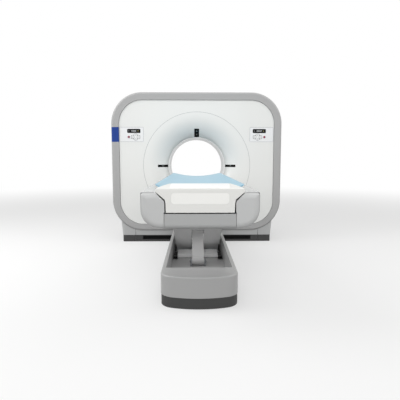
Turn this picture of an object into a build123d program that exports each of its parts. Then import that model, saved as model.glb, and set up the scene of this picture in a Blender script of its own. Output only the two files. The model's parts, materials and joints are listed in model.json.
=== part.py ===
from build123d import *
from math import cos, pi, radians, sin, sqrt
import os

# Scanner with a patient table. Millimetres, +Z up. The origin is on the floor, straight
# below the isocentre. +Y runs through the bore, from the table towards the back.

# Gantry, outside
gantry_width = 2115.0
gantry_top = 1866.0
gantry_bottom = 145.0
gantry_depth = 930.0
gantry_corner = 385.0
bezel_band = 95.0
bezel_band_bottom = 83.0
bezel_depth = 130.0
bezel_wall = 6.0
bezel_edge = 26.0
bezel_inner_wall = 60.0
ledge_width = 14.0
label_low = 1260.0
label_high = 1440.0
label_thickness = 1.5
label_wrap = 70.0
wrap_wall = 5.0
wrap_under_bezel = 12.0
wrap_seam = 3.0
wrap_foot_inset = 63.0

# Front and rear covers with their funnels
cover_step = 10.0
cover_gap = 3.0
cover_wall = 6.0
cover_return = 40.0
funnel_radius = 665.0
funnel_seam = 1.5
funnel_wall = 6.0
funnel_flange = 22.0
funnel_waist = 430.0
isocentre_z = 962.0
bore_radius = 360.0
liner_wall = 5.0
lip_inset = 147.0
lip_length = 16.0
lip_rim = 6.0
lip_round = 2.5
scan_window_width = 60.0

# Laser windows in the front funnel
side_window_reach = 122.0
side_window_height = 30.0
top_window_reach = 98.0
top_window_width = 60.0
window_fit = 0.4

# Control panels
panel_width = 303.5
panel_low = 1257.0
panel_height = 188.0
panel_corner = 12.0
panel_thickness = 3.0
panel_gap = 1.0
panel_ledge = 12.0
display_across = 124.0
display_drop = 51.0
display_width = 163.0
display_height = 50.0
display_corner = 11.0
display_thickness = 4.0
display_proud = 0.5
display_fit = 0.4
controls_rise = 63.0
stop_across = 187.0
stop_radius = 13.5
stop_height = 7.0
stop_flange = 3.0
keys_across = 103.0
rocker_width = 34.0
rocker_height = 72.0
rocker_axle = 2.0
rocker_axle_gap = 0.5
rocker_axle_reach = 4.0
key_width = 26.0
key_corner = 6.0
key_edge = 1.2
key_height = 32.0
key_offset = 36.0
key_proud = 2.0
key_flange = 2.0
key_depth = 4.0
key_fit = 0.5

# Gantry base
plinth_inset = 114.5
plinth_setback = 31.0
plinth_height = 84.0
plinth_corner = 30.0
plinth_wall = 6.0
base_step = 3.0
base_draft = 5.0
base_wall = 5.0
base_seam_inset = 163.0
base_seam = 3.0
vent_inset = 90.0
vent_low = 27.0
vent_high = 75.0
vent_slats = 4
vent_slat_thickness = 3.0
vent_depth = 30.0
vent_setback = 2.0
vent_side = 6.0
base_plate = 20.0
anchor_inset_x = 123.0
anchor_inset_y = 94.0
anchor_radius = 9.0
beam_inset = 100.0
beam_width = 150.0
beam_height = 100.0
beam_shelf = 20.0

# Rotating part and what carries it
stator_front_y = 70.0
stator_plate = 40.0
stator_radius = 820.0
stator_leg_x = 620.0
stator_arm_height = 60.0
stator_arm_low = 620.0
stator_arm_high = 1300.0
stator_window = 90.0
stator_window_side = 180.0
stator_window_corner = 20.0
bearing_outer = 470.0
bearing_width = 14.0
bearing_proud = 10.0
running_fit = 0.05
rotor_inner = 405.0
rotor_radius = 800.0
rotor_plate_y = -20.0
rotor_plate = 30.0
rotor_pockets = 12
rotor_pocket_radius = 45.0
hub_proud = 5.0
detector_inner = 560.0
detector_depth = 80.0
detector_half_angle = 27.0
detector_width = 130.0
tube_radius_out = 640.0
tube_housing = 95.0
tube_length = 190.0
collimator_height = 70.0
collimator_inset = 20.0
generator_width = 186.0
generator_height = 420.0
generator_depth = 170.0
generator_inner_x = 440.0
slip_ring_width = 50.0
slip_ring_wall = 34.0
motor_inner = 690.0
motor_width = 70.0
air_gap = 3.0

# Table lift: a half scissor with a parallelogram
lift_back = 1245.0
floor_pin_z = 90.0
link_length = 385.5
rest_angle = 33.9
lift_up = 7.5
tie_offset = 80.0
pin_radius = 14.0
tie_pin_radius = 8.0
tie_rod_x = 125.0
tie_rod_width = 16.0
tie_rod_height = 20.0
link_half_width = 55.0
link_thickness = 36.0
link_foot_radius = 36.0
eye_radius = 26.0
open_fit = 0.3
side_play = 2.0
ear_thickness = 14.0
ear_base = 8.0
arm_low_inset = 25.0
arm_top_inset = 6.0
arm_skin = 6.0
arm_flange = 8.0
arm_drop = 22.0
arm_depth = 54.0
arm_foot_overhang = 30.0
arm_slot_play = 7.0
arm_slot_past = 30.0
arm_recess = 36.0
arm_recess_length = 95.0
arm_foot_ear_inset = 30.0
lug_thickness = 26.0
lug_radius = 30.0
lug_play = 4.0
lug_notch_end = 40.0

# Floor tray under the table
tray_half_width = 280.0
tray_rim = 228.0
tray_length = 2220.0
tray_gap = 5.0
tray_front_arc = 620.0
tray_corner = 120.0
tray_wall = 6.0
tray_edge = 10.0
well_side_ledge = 30.0
well_front_ledge = 250.0
well_rear_ledge = 130.0
well_floor = 50.0
pan_gap = 15.0
pan_thickness = 6.0
pan_notch_fit = 5.0
skirt_top = 78.0
skirt_step = 3.0
skirt_gap = 0.5
tray_plate = 12.0
tray_anchor_inset_x = 80.0
tray_anchor_front = 390.0
tray_anchor_rear = 230.0
tray_anchor_edge = 60.0
support_width = 40.0
support_inset = 20.0
track_inset = 18.0
track_width = 20.0
track_height = 28.0
track_end = 20.0
carriage_inset = 28.0
carriage_front = 355.0
carriage_block = 210.0
carriage_top = 87.0
carriage_wall = 12.0
carriage_roof = 6.0
carriage_lift = 1.0
tongue_rise = 12.0
tongue_over_pin = 10.0
tongue_past_eye = 19.0
glide_length = 90.0
glide_height = 20.0
glide_inset = 5.0
glide_overlap = 2.0
pin_glide_half = 24.0
rod_radius = 16.0
rod_length = 250.0
cylinder_radius = 28.0
cylinder_length = 225.0
cylinder_rear_gap = 90.0
gearbox_length = 55.0
gearbox_height = 80.0
bracket_back = 15.0
cylinder_bracket = 40.0
cylinder_bracket_wall = 12.0
motor_radius = 42.0
motor_length = 150.0

# Table body
body_length = 2430.0
body_gap = 35.0
body_top = 839.0
body_bottom = 609.0
body_corner = 120.0
body_shoulder_round = 12.0
body_end_round = 42.0
body_wall = 5.0
shoulder_width = 91.0
foot_seam_inset = 1.5
foot_seam = 2.5
foot_panel_gap = 7.5
foot_panel_run = 250.0
foot_round = 30.0
channel_gap = 13.0
channel_step = 61.0
channel_lip = 4.0
channel_knee_drop = 55.0
channel_neck = 14.0
channel_rise = 18.0
rib_inset = 55.0
rib_width = 40.0
rib_rise = 16.0
rib_height = 70.0
rib_foot_inset = 70.0
rib_head_inset = 60.0
cross_width = 60.0
cross_front = 240.0
cross_rear = 180.0
hanger_width = 50.0
hanger_depth = 30.0
skid_inset = 60.0
skid_length = 80.0
bracket_length = 60.0
bracket_plate = 15.0
bracket_reach = 20.0
bracket_play = 5.0
bracket_inset = 20.0
belly_hole_play = 10.0
belly_hole_front = 110.0
belly_hole_rear = 130.0
rail_width = 20.0
rail_height = 13.0
rail_end = 10.0

# Cradle that carries the patient through the bore
cradle_half_width = 268.0
cradle_gap = 10.0
cradle_rise = 88.0
cradle_side_rise = 67.0
cradle_edge = 10.0
cradle_thickness = 22.0
mattress_overhang = 22.0
mattress_fit = 0.3
mattress_side = 18.0
mattress_thickness = 31.0
mattress_corner = 45.0
cap_depth = 120.0
cap_back = 40.0
cap_top = 884.0
cap_slope = 24.0
cap_round = 6.0
cap_corner = 12.0
cap_low_gap = 1.0
cap_side_gap = 9.0
cap_brim = 8.0
cap_shoulder = 73.0
inset_side = 42.0
inset_low = 765.0
inset_high = 833.0
inset_corner = 20.0
inset_thickness = 3.0
inset_fit = 0.3
slider_inset = 150.0
slider_length = 460.0
slider_side_gap = 30.0
slider_plate = 18.0
slider_rib_x = 100.0
slider_rib = 24.0
roller_radius = 20.0
roller_half_length = 30.0
roller_axle = 6.0
roller_inset = 85.0
fork_thickness = 10.0
fork_half = 15.0

seat = 0.3
pin_end = 1.0

# Places that follow from the sizes above: gantry
gantry_half = gantry_width / 2
front_y = -gantry_depth / 2
cover_y = front_y + cover_step
lip_y = gantry_depth / 2 - lip_inset
isocentre = Axis((0, 0, isocentre_z), (0, 1, 0))
plinth_half_width = gantry_half - plinth_inset
plinth_half_depth = gantry_depth / 2 - plinth_setback
wrap_foot_x = plinth_half_width - wrap_foot_inset
base_seam_x = plinth_half_width - base_seam_inset
vent_half_width = base_seam_x - vent_inset
anchor_x = plinth_half_width - anchor_inset_x
anchor_y = plinth_half_depth - anchor_inset_y
beam_x = stator_leg_x - beam_inset
panel_outer_x = gantry_half - bezel_band - cover_gap - panel_gap
panel_inner_x = panel_outer_x - panel_width
panel_high = panel_low + panel_height
display_x = panel_inner_x + display_across
display_z = panel_high - display_drop
controls_z = panel_low + controls_rise
stop_x = panel_inner_x + stop_across
keys_x = panel_inner_x + keys_across

# Places of the table body and the cradle
body_head_y = front_y - body_gap
body_foot_y = body_head_y - body_length
channel_top_half_width = cradle_half_width + channel_gap
channel_half_width = channel_top_half_width - channel_step
body_half_width = channel_top_half_width + shoulder_width
foot_seam_x = channel_half_width + foot_seam_inset
rib_half_width = channel_half_width - rib_inset
rib_low = body_bottom + rib_rise
rib_high = rib_low + rib_height
rib_foot_y = body_foot_y + rib_foot_inset
rib_head_y = body_head_y - rib_head_inset
channel_low = rib_high + channel_rise
channel_knee = body_top - channel_knee_drop
cap_low = channel_low - cap_low_gap
cap_front_y = body_foot_y
foot_panel_top = cap_low - foot_panel_gap
cradle_head_y = front_y - cradle_gap
cradle_low = rib_high + cradle_rise
cradle_edge_low = cradle_low + cradle_side_rise
cradle_edge_high = cradle_edge_low + cradle_edge
cradle_dish = cradle_low + cradle_thickness
mattress_half_width = cradle_half_width + mattress_overhang
mattress_edge = cradle_edge_high + mattress_side
mattress_dish = cradle_dish + mattress_thickness
inset_half_width = channel_half_width - inset_side
slider_front_y = cap_front_y + slider_inset
slider_half_width = channel_half_width - slider_side_gap
roller_y = body_head_y - roller_inset

# Places of the lift and the tray
angle = radians(rest_angle)
floor_pin_y = body_head_y - lift_back
mid_pin = (floor_pin_y + link_length * cos(angle), floor_pin_z + link_length * sin(angle))
top_pin = (floor_pin_y, floor_pin_z + 2 * link_length * sin(angle))
low_pin = (floor_pin_y + 2 * link_length * cos(angle), floor_pin_z)
arm_length = 2 * link_length
carriage_travel = arm_length * (cos(angle) - cos(angle + radians(lift_up)))
tray_rear_y = front_y - tray_gap
tray_front_y = tray_rear_y - tray_length
well_half_width = tray_half_width - well_side_ledge
well_front_y = tray_front_y + well_front_ledge
well_rear_y = tray_rear_y - well_rear_ledge
tray_anchor_x = tray_half_width - tray_anchor_inset_x
tray_anchor_front_y = tray_front_y + tray_anchor_front
tray_anchor_rear_y = tray_rear_y - tray_anchor_rear
track_x = well_half_width - track_inset
carriage_half_width = track_x - carriage_inset
carriage_low = well_floor + carriage_lift
pan_rear_y = low_pin[0] - carriage_front - pan_gap
notch_front_y = low_pin[0] - carriage_front - carriage_travel - pan_notch_fit
arm_low_half_width = well_half_width - arm_low_inset
arm_top_half_width = well_half_width - arm_top_inset
arm_slot = link_half_width + arm_slot_play
lug_x = rib_half_width + rib_width / 2
lug_notch = lug_thickness + 2 * lug_play
cylinder_rear_y = well_rear_y - cylinder_rear_gap
cylinder_front_y = cylinder_rear_y - cylinder_length


def slab(x0, x1, y0, y1, z0, z1):
    """A box between two corners."""
    middle = Pos((x0 + x1) / 2, (y0 + y1) / 2, (z0 + z1) / 2)
    return middle * Box(abs(x1 - x0), abs(y1 - y0), abs(z1 - z0))


def upright(face, y0, y1):
    """A face drawn with x and z, pushed along Y from y0 to y1."""
    plane = Plane((0, y0, 0), x_dir=(1, 0, 0), z_dir=(0, -1, 0))
    return extrude(plane * face, amount=y1 - y0, dir=(0, 1, 0))


def across(face, x0, x1):
    """A face drawn with y and z, pushed along X from x0 to x1."""
    plane = Plane((x0, 0, 0), x_dir=(0, 1, 0), z_dir=(1, 0, 0))
    return extrude(plane * face, amount=x1 - x0, dir=(1, 0, 0))


def both_sides(shape):
    """A shape and its mirror image across the middle of the machine."""
    return [shape, mirror(shape, about=Plane.YZ)]


def joined(shapes):
    """One shape fused from a list."""
    total = shapes[0]
    for shape in shapes[1:]:
        total = total + shape
    return total


def ring(inner, outer, y0, y1):
    """A round ring about the isocentre's axis."""
    disc = Pos(0, isocentre_z) * Circle(outer)
    return upright(disc - Pos(0, isocentre_z) * Circle(inner), y0, y1)


def pin(y, z, radius, x0, x1):
    """A round pin along X."""
    return across(Pos(y, z) * Circle(radius), x0, x1)


def outline(inset):
    """The gantry's rounded outline seen from the front, made smaller all round."""
    height = gantry_top - gantry_bottom - 2 * inset
    middle = (gantry_top + gantry_bottom) / 2
    return Pos(0, middle) * RectangleRounded(gantry_width - 2 * inset, height, gantry_corner - inset)


def opening(inset):
    """The bezel's inner opening seen from the front, made smaller all round."""
    low = gantry_bottom + bezel_band_bottom + inset
    high = gantry_top - bezel_band - inset
    width = gantry_width - 2 * bezel_band - 2 * inset
    return Pos(0, (low + high) / 2) * RectangleRounded(width, high - low, gantry_corner - bezel_band - inset)


def bezel_block(inset):
    """The bezel before it is hollowed, with its rounded front edge."""
    block = upright(outline(inset), front_y + inset, front_y + bezel_depth)
    front = block.faces().sort_by(Axis.Y)[0]
    return fillet(front.edges(), bezel_edge - inset)


def plain_bezel():
    """A hollow frame with a ledge that the cover sits against."""
    lip_back = front_y + bezel_inner_wall
    ledge_y = cover_y + cover_return + seat
    shell = bezel_block(0) - bezel_block(bezel_wall)
    shell -= upright(opening(0), front_y - 1, front_y + bezel_depth)
    lip = upright(opening(-bezel_wall) - opening(0), front_y + bezel_wall, lip_back)
    ledge = upright(opening(-bezel_wall) - opening(ledge_width), ledge_y, ledge_y + bezel_wall)
    return shell + lip + ledge


def label_block(margin):
    """The space that the colour band takes on the left of the bezel."""
    inner_x = bezel_band - gantry_half
    side_y = front_y + label_wrap + margin
    return slab(-gantry_half - 5, inner_x, front_y - 5, side_y, label_low - margin, label_high + margin)


def label_band():
    """A thin coloured band laid into the bezel's left side."""
    skin = bezel_block(0) - bezel_block(label_thickness)
    skin -= upright(opening(0), front_y - 1, front_y + bezel_depth)
    return skin & label_block(0)


def front_bezel():
    skin = bezel_block(0) - bezel_block(label_thickness + seat)
    return plain_bezel() - (skin & label_block(seat))


def wrap_cover():
    """Right half of the cover that closes the sides and the top."""
    reach = gantry_depth / 2 - bezel_depth + wrap_under_bezel
    inset = bezel_wall + seat
    tube = upright(outline(inset) - outline(inset + wrap_wall), -reach, reach)
    tube -= slab(-wrap_foot_x, wrap_foot_x, -reach, reach, gantry_bottom, isocentre_z - bore_radius)
    return tube & slab(wrap_seam / 2, gantry_half, -reach, reach, 0, gantry_top)


def panel_face(inset):
    """A control panel's outline, square where it meets the bezel."""
    outer_x = panel_outer_x - inset
    inner_x = panel_inner_x + inset
    low = panel_low + inset
    high = panel_high - inset
    middle = Pos((outer_x + inner_x) / 2, (low + high) / 2)
    face = middle * Rectangle(outer_x - inner_x, high - low)
    inner_corners = face.vertices().sort_by(Axis.X)[0:2]
    return fillet(inner_corners, panel_corner)


def display_face(gap):
    """A display's outline with an even gap round it."""
    width = display_width + 2 * gap
    height = display_height + 2 * gap
    return Pos(display_x, display_z) * RectangleRounded(width, height, display_corner + gap)


def stop_face(gap):
    return Pos(stop_x, controls_z) * Circle(stop_radius + gap)


def rocker_face(gap):
    width = rocker_width + 2 * gap
    height = rocker_height + 2 * gap
    return Pos(keys_x, controls_z) * RectangleRounded(width, height, width / 2 - 0.5)


def key_face(side, gap):
    """A side key's outline, at side -1 or 1 of the rocker."""
    width = key_width + 2 * gap
    height = key_height + 2 * gap
    return Pos(keys_x + side * key_offset, controls_z) * RectangleRounded(width, height, key_corner + gap)


def control_panel():
    """Right control panel with its cut-outs."""
    panel = upright(panel_face(0), cover_y, cover_y + panel_thickness)
    cuts = [display_face(display_fit), stop_face(key_fit), rocker_face(key_fit)]
    cuts += [key_face(side, key_fit) for side in (-1, 1)]
    for face in cuts:
        panel -= upright(face, cover_y - 1, cover_y + panel_thickness + 1)
    return panel


def display():
    front = cover_y - display_proud
    return upright(display_face(0), front, front + display_thickness)


def button_cap(face, proud):
    """A cap that stands out of the panel, with its front edge rounded."""
    cap = upright(face, cover_y - proud, cover_y + panel_thickness + key_depth)
    return fillet(cap.faces().sort_by(Axis.Y)[0].edges(), min(key_edge, proud / 2))


def button(face, flange_face, proud):
    """A cap and the flange that holds it in from behind."""
    back = cover_y + panel_thickness + seat
    return button_cap(face, proud) + upright(flange_face, back, back + key_flange)


def stop_button():
    return button(stop_face(0), stop_face(stop_flange), stop_height)


def rocker_key():
    """A long cap that tilts on a round axle behind the panel."""
    axle_y = cover_y + panel_thickness + rocker_axle_gap + rocker_axle
    reach = rocker_width / 2 + rocker_axle_reach
    axle = pin(axle_y, controls_z, rocker_axle, keys_x - reach, keys_x + reach)
    return button_cap(rocker_face(0), key_proud) + axle


def side_key(side):
    return button(key_face(side, 0), key_face(side, key_flange), key_proud)


def cover_pocket():
    """Right-hand pocket that takes the panel, with a window behind its ledge."""
    pocket = upright(panel_face(-panel_gap), cover_y - 1, cover_y + panel_thickness)
    return pocket + upright(panel_face(panel_ledge), cover_y, cover_y + cover_wall + 1)


def plain_cover():
    """A face with a round hole and a return flange along its outer edge."""
    edge = cover_gap
    face = upright(opening(edge), cover_y, cover_y + cover_wall)
    flange = upright(opening(edge) - opening(edge + cover_wall), cover_y, cover_y + cover_return)
    round_hole = Pos(0, isocentre_z) * Circle(funnel_radius + funnel_seam)
    hole = upright(round_hole, cover_y - 1, cover_y + cover_wall + 1)
    return face + flange - hole


def front_cover():
    cover = plain_cover()
    for pocket in both_sides(cover_pocket()):
        cover -= pocket
    return cover


def funnel_curve(offset):
    """The trumpet curve from the seam to the bore, moved outwards from the patient's side."""
    start = (funnel_radius, cover_y + offset)
    waist = (funnel_waist + offset * 0.7, cover_y + 62 + offset * 0.7)
    end = (bore_radius + lip_rim + offset, -lip_y + lip_length)
    return Spline(start, waist, end, tangents=((-1, 0), (0, 1)), tangent_scalars=(1.0, 0.8))


def funnel_wall_section():
    """The funnel's wall, drawn with the radius along x and y along y."""
    near = funnel_curve(0)
    far = funnel_curve(funnel_wall)
    edges = [near, Line(near @ 1, far @ 1), far, Line(far @ 0, near @ 0)]
    return make_face(Curve() + edges)


def plain_funnel():
    """Trumpet between the cover's face and the bore, with a flange behind the seam."""
    wall = revolve(Pos(0, 0, isocentre_z) * funnel_wall_section(), axis=isocentre)
    flange_y = cover_y + cover_wall + seat
    inner = funnel_radius - funnel_flange
    flange = ring(inner, funnel_radius + funnel_flange, flange_y, flange_y + funnel_wall)
    neck = ring(funnel_radius - funnel_wall, funnel_radius, cover_y + funnel_wall / 2, flange_y + funnel_wall)
    return wall + flange + neck


def side_window_block(gap):
    """The space of the right laser window, from inside the bore outwards."""
    half = side_window_height / 2 + gap
    stop = bore_radius + lip_rim + side_window_reach + gap
    return slab(bore_radius / 2, stop, cover_y - 1, 0, isocentre_z - half, isocentre_z + half)


def top_window_block(gap):
    """The space of the top laser window, from inside the bore upwards."""
    half = top_window_width / 2 + gap
    stop = isocentre_z + bore_radius + lip_rim + top_window_reach + gap
    return slab(-half, half, cover_y - 1, 0, isocentre_z + bore_radius / 2, stop)


def front_funnel(wall):
    funnel = wall
    for block in both_sides(side_window_block(window_fit)):
        funnel -= block
    return funnel - top_window_block(window_fit)


def side_windows(wall):
    return [wall & block for block in both_sides(side_window_block(0))]


def top_window(wall):
    return wall & top_window_block(0)


def bore_liner():
    """Front half of the tube round the patient, with its rounded lip."""
    tube = ring(bore_radius, bore_radius + liner_wall, -lip_y, -scan_window_width / 2)
    lip = ring(bore_radius, bore_radius + lip_rim - seat, -lip_y, -lip_y + lip_length)
    liner = tube + lip
    front = liner.faces().sort_by(Axis.Y)[0]
    return fillet(front.edges(), lip_round)


def scan_window():
    half = scan_window_width / 2
    return ring(bore_radius, bore_radius + liner_wall, -half, half)


def rounded_plan(half_x, half_y, radius, z):
    """A rounded rectangle on a level plane."""
    return Pos(0, 0, z) * RectangleRounded(2 * half_x, 2 * half_y, radius)


def plinth():
    """Dark kick plate round the foot of the gantry, whole."""
    plan = rounded_plan(plinth_half_width, plinth_half_depth, plinth_corner, 0)
    block = extrude(plan, amount=plinth_height)
    inner_x = plinth_half_width - plinth_wall
    inner_y = plinth_half_depth - plinth_wall
    inner_plan = rounded_plan(inner_x, inner_y, plinth_corner - plinth_wall, 0)
    return block - extrude(inner_plan, amount=plinth_height)


def base_cover():
    """Pale cover above the kick plate, whole, cut to the gantry's round under side."""
    height = gantry_bottom + gantry_corner - plinth_height
    half_x = plinth_half_width + base_step
    half_y = plinth_half_depth + base_step
    corner = plinth_corner + base_step
    outer = extrude(rounded_plan(half_x, half_y, corner, plinth_height), amount=height, taper=-base_draft)
    inner_plan = rounded_plan(half_x - base_wall, half_y - base_wall, corner - base_wall, plinth_height)
    cover = outer - extrude(inner_plan, amount=height, taper=-base_draft)
    return cover - upright(outline(-seat), -gantry_depth, gantry_depth)


def split_base(whole, height):
    """Front middle, left and right pieces of a cover that runs round the base."""
    edge = base_seam_x - base_seam / 2
    reach = gantry_depth
    middle = whole & slab(-edge, edge, -reach, -plinth_half_depth / 2, 0, height)
    side = whole & slab(wrap_seam / 2, gantry_width, -reach, reach, 0, height)
    side -= slab(0, edge + base_seam, -reach, -plinth_half_depth / 2, 0, height)
    return middle, side


def plinth_pieces():
    middle, side = split_base(plinth(), gantry_top)
    cut = slab(-vent_half_width, vent_half_width, -gantry_depth, 0, vent_low, vent_high)
    return middle - cut, side


def vent_grille():
    """Black grille behind the slot in the kick plate."""
    front = vent_setback - plinth_half_depth
    half = vent_half_width - seat
    frame = slab(-half, half, front, front + vent_depth, vent_low + seat, vent_high - seat)
    pitch = (vent_high - vent_low) / vent_slats
    half = vent_half_width - vent_side
    for number in range(vent_slats):
        low = vent_low + number * pitch + vent_slat_thickness
        gap = pitch - vent_slat_thickness
        frame -= slab(-half, half, front - 1, front + vent_depth - vent_slat_thickness, low, low + gap)
    return frame


def base_frame():
    """Steel plate on the floor with two beams that carry the bearing plate."""
    half_x = plinth_half_width - plinth_wall - seat
    half_y = plinth_half_depth - plinth_wall - seat
    plate = extrude(rounded_plan(half_x, half_y, plinth_corner - plinth_wall, 0), amount=base_plate)
    beam_top = base_plate + beam_height
    beam = slab(beam_x - beam_width / 2, beam_x + beam_width / 2, -anchor_y, anchor_y, base_plate, beam_top)
    frame = joined([plate] + both_sides(beam))
    frame += slab(-beam_x, beam_x, stator_front_y - beam_shelf, stator_front_y + stator_plate + beam_shelf,
                  base_plate, beam_top)
    for x in (-anchor_x, anchor_x):
        for y in (-anchor_y, anchor_y):
            frame -= Pos(x, y, base_plate / 2) * Cylinder(anchor_radius, base_plate * 2)
    return frame


def stator_frame():
    """Upright plate with the bearing's seat, standing on the base frame."""
    foot = base_plate + beam_height
    face = Pos(0, isocentre_z) * Circle(stator_radius)
    face += Pos(0, (foot + isocentre_z) / 2) * Rectangle(2 * stator_leg_x, isocentre_z - foot)
    arm_reach = 2 * (gantry_half - bezel_wall - seat - wrap_wall - seat)
    for low in (stator_arm_low, stator_arm_high):
        face += Pos(0, low + stator_arm_height / 2) * Rectangle(arm_reach, stator_arm_height)
    face -= Pos(0, isocentre_z) * Circle(bearing_outer)
    window_width = 2 * (stator_leg_x - stator_window_side)
    window = RectangleRounded(window_width, stator_window, stator_window_corner)
    window = Pos(0, foot + stator_window) * window
    return upright(face - window, stator_front_y, stator_front_y + stator_plate)


def bearing_ring():
    inner = bearing_outer - bearing_width
    return ring(inner, bearing_outer, stator_front_y - bearing_proud, stator_front_y + stator_plate)


def motor_stator():
    gap_y = rotor_plate_y + rotor_plate + air_gap
    return ring(motor_inner, motor_inner + motor_width, gap_y, stator_front_y)


def rotor_drum():
    """Disc that carries the tube and the detector, with the hub inside the bearing."""
    hub_radius = bearing_outer - bearing_width - running_fit
    disc = ring(rotor_inner, rotor_radius, rotor_plate_y, rotor_plate_y + rotor_plate)
    drum = disc + ring(rotor_inner, hub_radius, rotor_plate_y, stator_front_y + stator_plate + hub_proud)
    pocket_radius = (hub_radius + motor_inner) / 2
    for number in range(rotor_pockets):
        turn = 2 * pi * (number + 0.5) / rotor_pockets
        x = pocket_radius * cos(turn)
        z = isocentre_z + pocket_radius * sin(turn)
        pocket = Pos(x, z) * Circle(rotor_pocket_radius)
        drum -= upright(pocket, rotor_plate_y - 1, rotor_plate_y + rotor_plate + 1)
    return drum


def xray_tube():
    """Round tube housing with its collimator, at the top of the rotor."""
    centre_z = isocentre_z + tube_radius_out
    back = rotor_plate_y
    housing = upright(Pos(0, centre_z) * Circle(tube_housing), back - tube_length, back)
    low = centre_z - tube_housing - collimator_height
    half = collimator_height
    return housing + slab(-half, half, back - tube_length + collimator_inset, back, low, centre_z)


def arc_block(inner, outer, half_angle, middle_angle, y0, y1):
    """A block that follows an arc about the isocentre."""
    low = radians(middle_angle - half_angle)
    mid = radians(middle_angle)
    high = radians(middle_angle + half_angle)
    inside = [(inner * cos(a), isocentre_z + inner * sin(a)) for a in (low, mid, high)]
    outside = [(outer * cos(a), isocentre_z + outer * sin(a)) for a in (high, mid, low)]
    edges = [ThreePointArc(*inside), Line(inside[2], outside[0])]
    edges += [ThreePointArc(*outside), Line(outside[2], inside[0])]
    return upright(make_face(Curve() + edges), y0, y1)


def detector_arc():
    outer = detector_inner + detector_depth
    front = rotor_plate_y - detector_width
    return arc_block(detector_inner, outer, detector_half_angle, -90, front, rotor_plate_y)


def generators():
    """High-voltage generator and its power unit, one on each side of the rotor."""
    block = slab(generator_inner_x, generator_inner_x + generator_width, rotor_plate_y - generator_depth,
                 rotor_plate_y, isocentre_z - generator_height / 2, isocentre_z + generator_height / 2)
    return Compound(children=both_sides(block))


def slip_ring():
    start = stator_front_y + stator_plate + hub_proud
    return ring(rotor_inner, rotor_inner + slip_ring_wall, start, start + slip_ring_width)


def arm_plane():
    """Plane of the wide arm: x across, y down the arm and z out of its back."""
    return Plane((0, low_pin[0], low_pin[1]), x_dir=(1, 0, 0), z_dir=(0, sin(angle), cos(angle)))


def arm_point(along, out):
    """World y and z of a point given along the arm from its low pin and out of its back."""
    y = low_pin[0] - along * cos(angle) + out * sin(angle)
    return (y, low_pin[1] + along * sin(angle) + out * cos(angle))


def arm_strip(start, stop, low, high):
    """A side outline along the arm, between two heights over its skin's under side."""
    corners = [(start, low), (stop, low), (stop, high), (start, high)]
    points = [arm_point(along, out - arm_drop) for along, out in corners]
    return make_face(Polyline(*points, close=True))


def arm_slot_block(half, start, stop):
    """The space of a slot through the arm, between two places along it."""
    face = Pos(0, -(start + stop) / 2) * Rectangle(2 * half, stop - start)
    return extrude(arm_plane() * face, amount=arm_length, both=True)


def eye_plate(centre, other, radius, half):
    """A plate with a round end about a pin, reaching towards another point."""
    reach = sqrt((other[0] - centre[0]) ** 2 + (other[1] - centre[1]) ** 2)
    along = ((other[0] - centre[0]) / reach, (other[1] - centre[1]) / reach)
    side = (-along[1] * half, along[0] * half)
    corners = [(centre[0] + side[0], centre[1] + side[1]), (other[0] + side[0], other[1] + side[1]),
               (other[0] - side[0], other[1] - side[1]), (centre[0] - side[0], centre[1] - side[1])]
    return Pos(*centre) * Circle(radius) + make_face(Polyline(*corners, close=True))


def paired_plates(face, x_inner, thickness):
    """The same plate at both sides of the machine."""
    return both_sides(across(face, x_inner, x_inner + thickness))


def arm_planform(inset):
    """The arm's tapered outline seen square to it, made narrower at both sides."""
    start = arm_foot_overhang + 1
    stop = -arm_length - start
    low = arm_low_half_width - inset
    top = arm_top_half_width - inset
    face = make_face(Polyline((-low, start), (-top, stop), (top, stop), (low, start), close=True))
    return extrude(arm_plane() * face, amount=arm_length, both=True)


def main_arm():
    """Wide folded arm: skin, side flanges, a raised bridge over the link and ears for three pins."""
    half = arm_top_half_width
    start = -arm_foot_overhang
    stop = arm_length + arm_foot_overhang
    body = across(arm_strip(start, stop, 0, arm_depth), -half, half)
    room = across(arm_strip(start - 1, stop + 1, arm_skin, arm_depth + 1), -half, half)
    arm = (body & arm_planform(0)) - (room & arm_planform(arm_flange))
    slot_end = link_length + arm_slot_past
    bridge_end = slot_end + arm_recess_length
    arm -= arm_slot_block(arm_slot, start - 1, bridge_end)
    bridge = arm_strip(slot_end, bridge_end + arm_skin, 0, arm_recess + arm_skin)
    wall = arm_slot + arm_skin
    bridge = across(bridge, -wall, wall)
    bridge -= across(arm_strip(slot_end - 1, bridge_end, -1, arm_recess), -arm_slot, arm_slot)
    for x in (-lug_x, lug_x):
        notch = arm_plane() * Pos(x, -arm_length) * Rectangle(lug_notch, 2 * (lug_radius + lug_notch_end))
        arm -= extrude(notch, amount=arm_length, both=True)
    ears = [eye_plate(centre, arm_point(along, arm_skin - arm_drop), arm_drop, arm_drop)
            for centre, along in ((mid_pin, link_length), (low_pin, 0), (top_pin, arm_length))]
    plates = paired_plates(ears[0], arm_slot, ear_thickness)
    for x in (arm_slot, arm_low_half_width - arm_foot_ear_inset):
        plates += paired_plates(ears[1], x, ear_thickness)
    for x in (lug_x - lug_notch / 2 - ear_thickness, lug_x + lug_notch / 2):
        plates += paired_plates(ears[2], x, ear_thickness)
    arm = joined([arm, bridge] + plates)
    for centre in (mid_pin, low_pin, top_pin):
        arm -= pin(*centre, pin_radius + running_fit, -half - 1, half + 1)
    return arm


def short_link():
    """Flat box link from the floor pin to the arm's middle, with the middle pin fixed in it."""
    start = (floor_pin_y, floor_pin_z)
    face = eye_plate(start, mid_pin, link_foot_radius, link_thickness / 2)
    face += Pos(*mid_pin) * Circle(eye_radius)
    body = across(face, -link_half_width, link_half_width)
    body -= pin(*start, pin_radius + running_fit, -link_half_width - 1, link_half_width + 1)
    reach = arm_slot + ear_thickness
    return body + pin(*mid_pin, pin_radius, -reach, reach)


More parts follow.
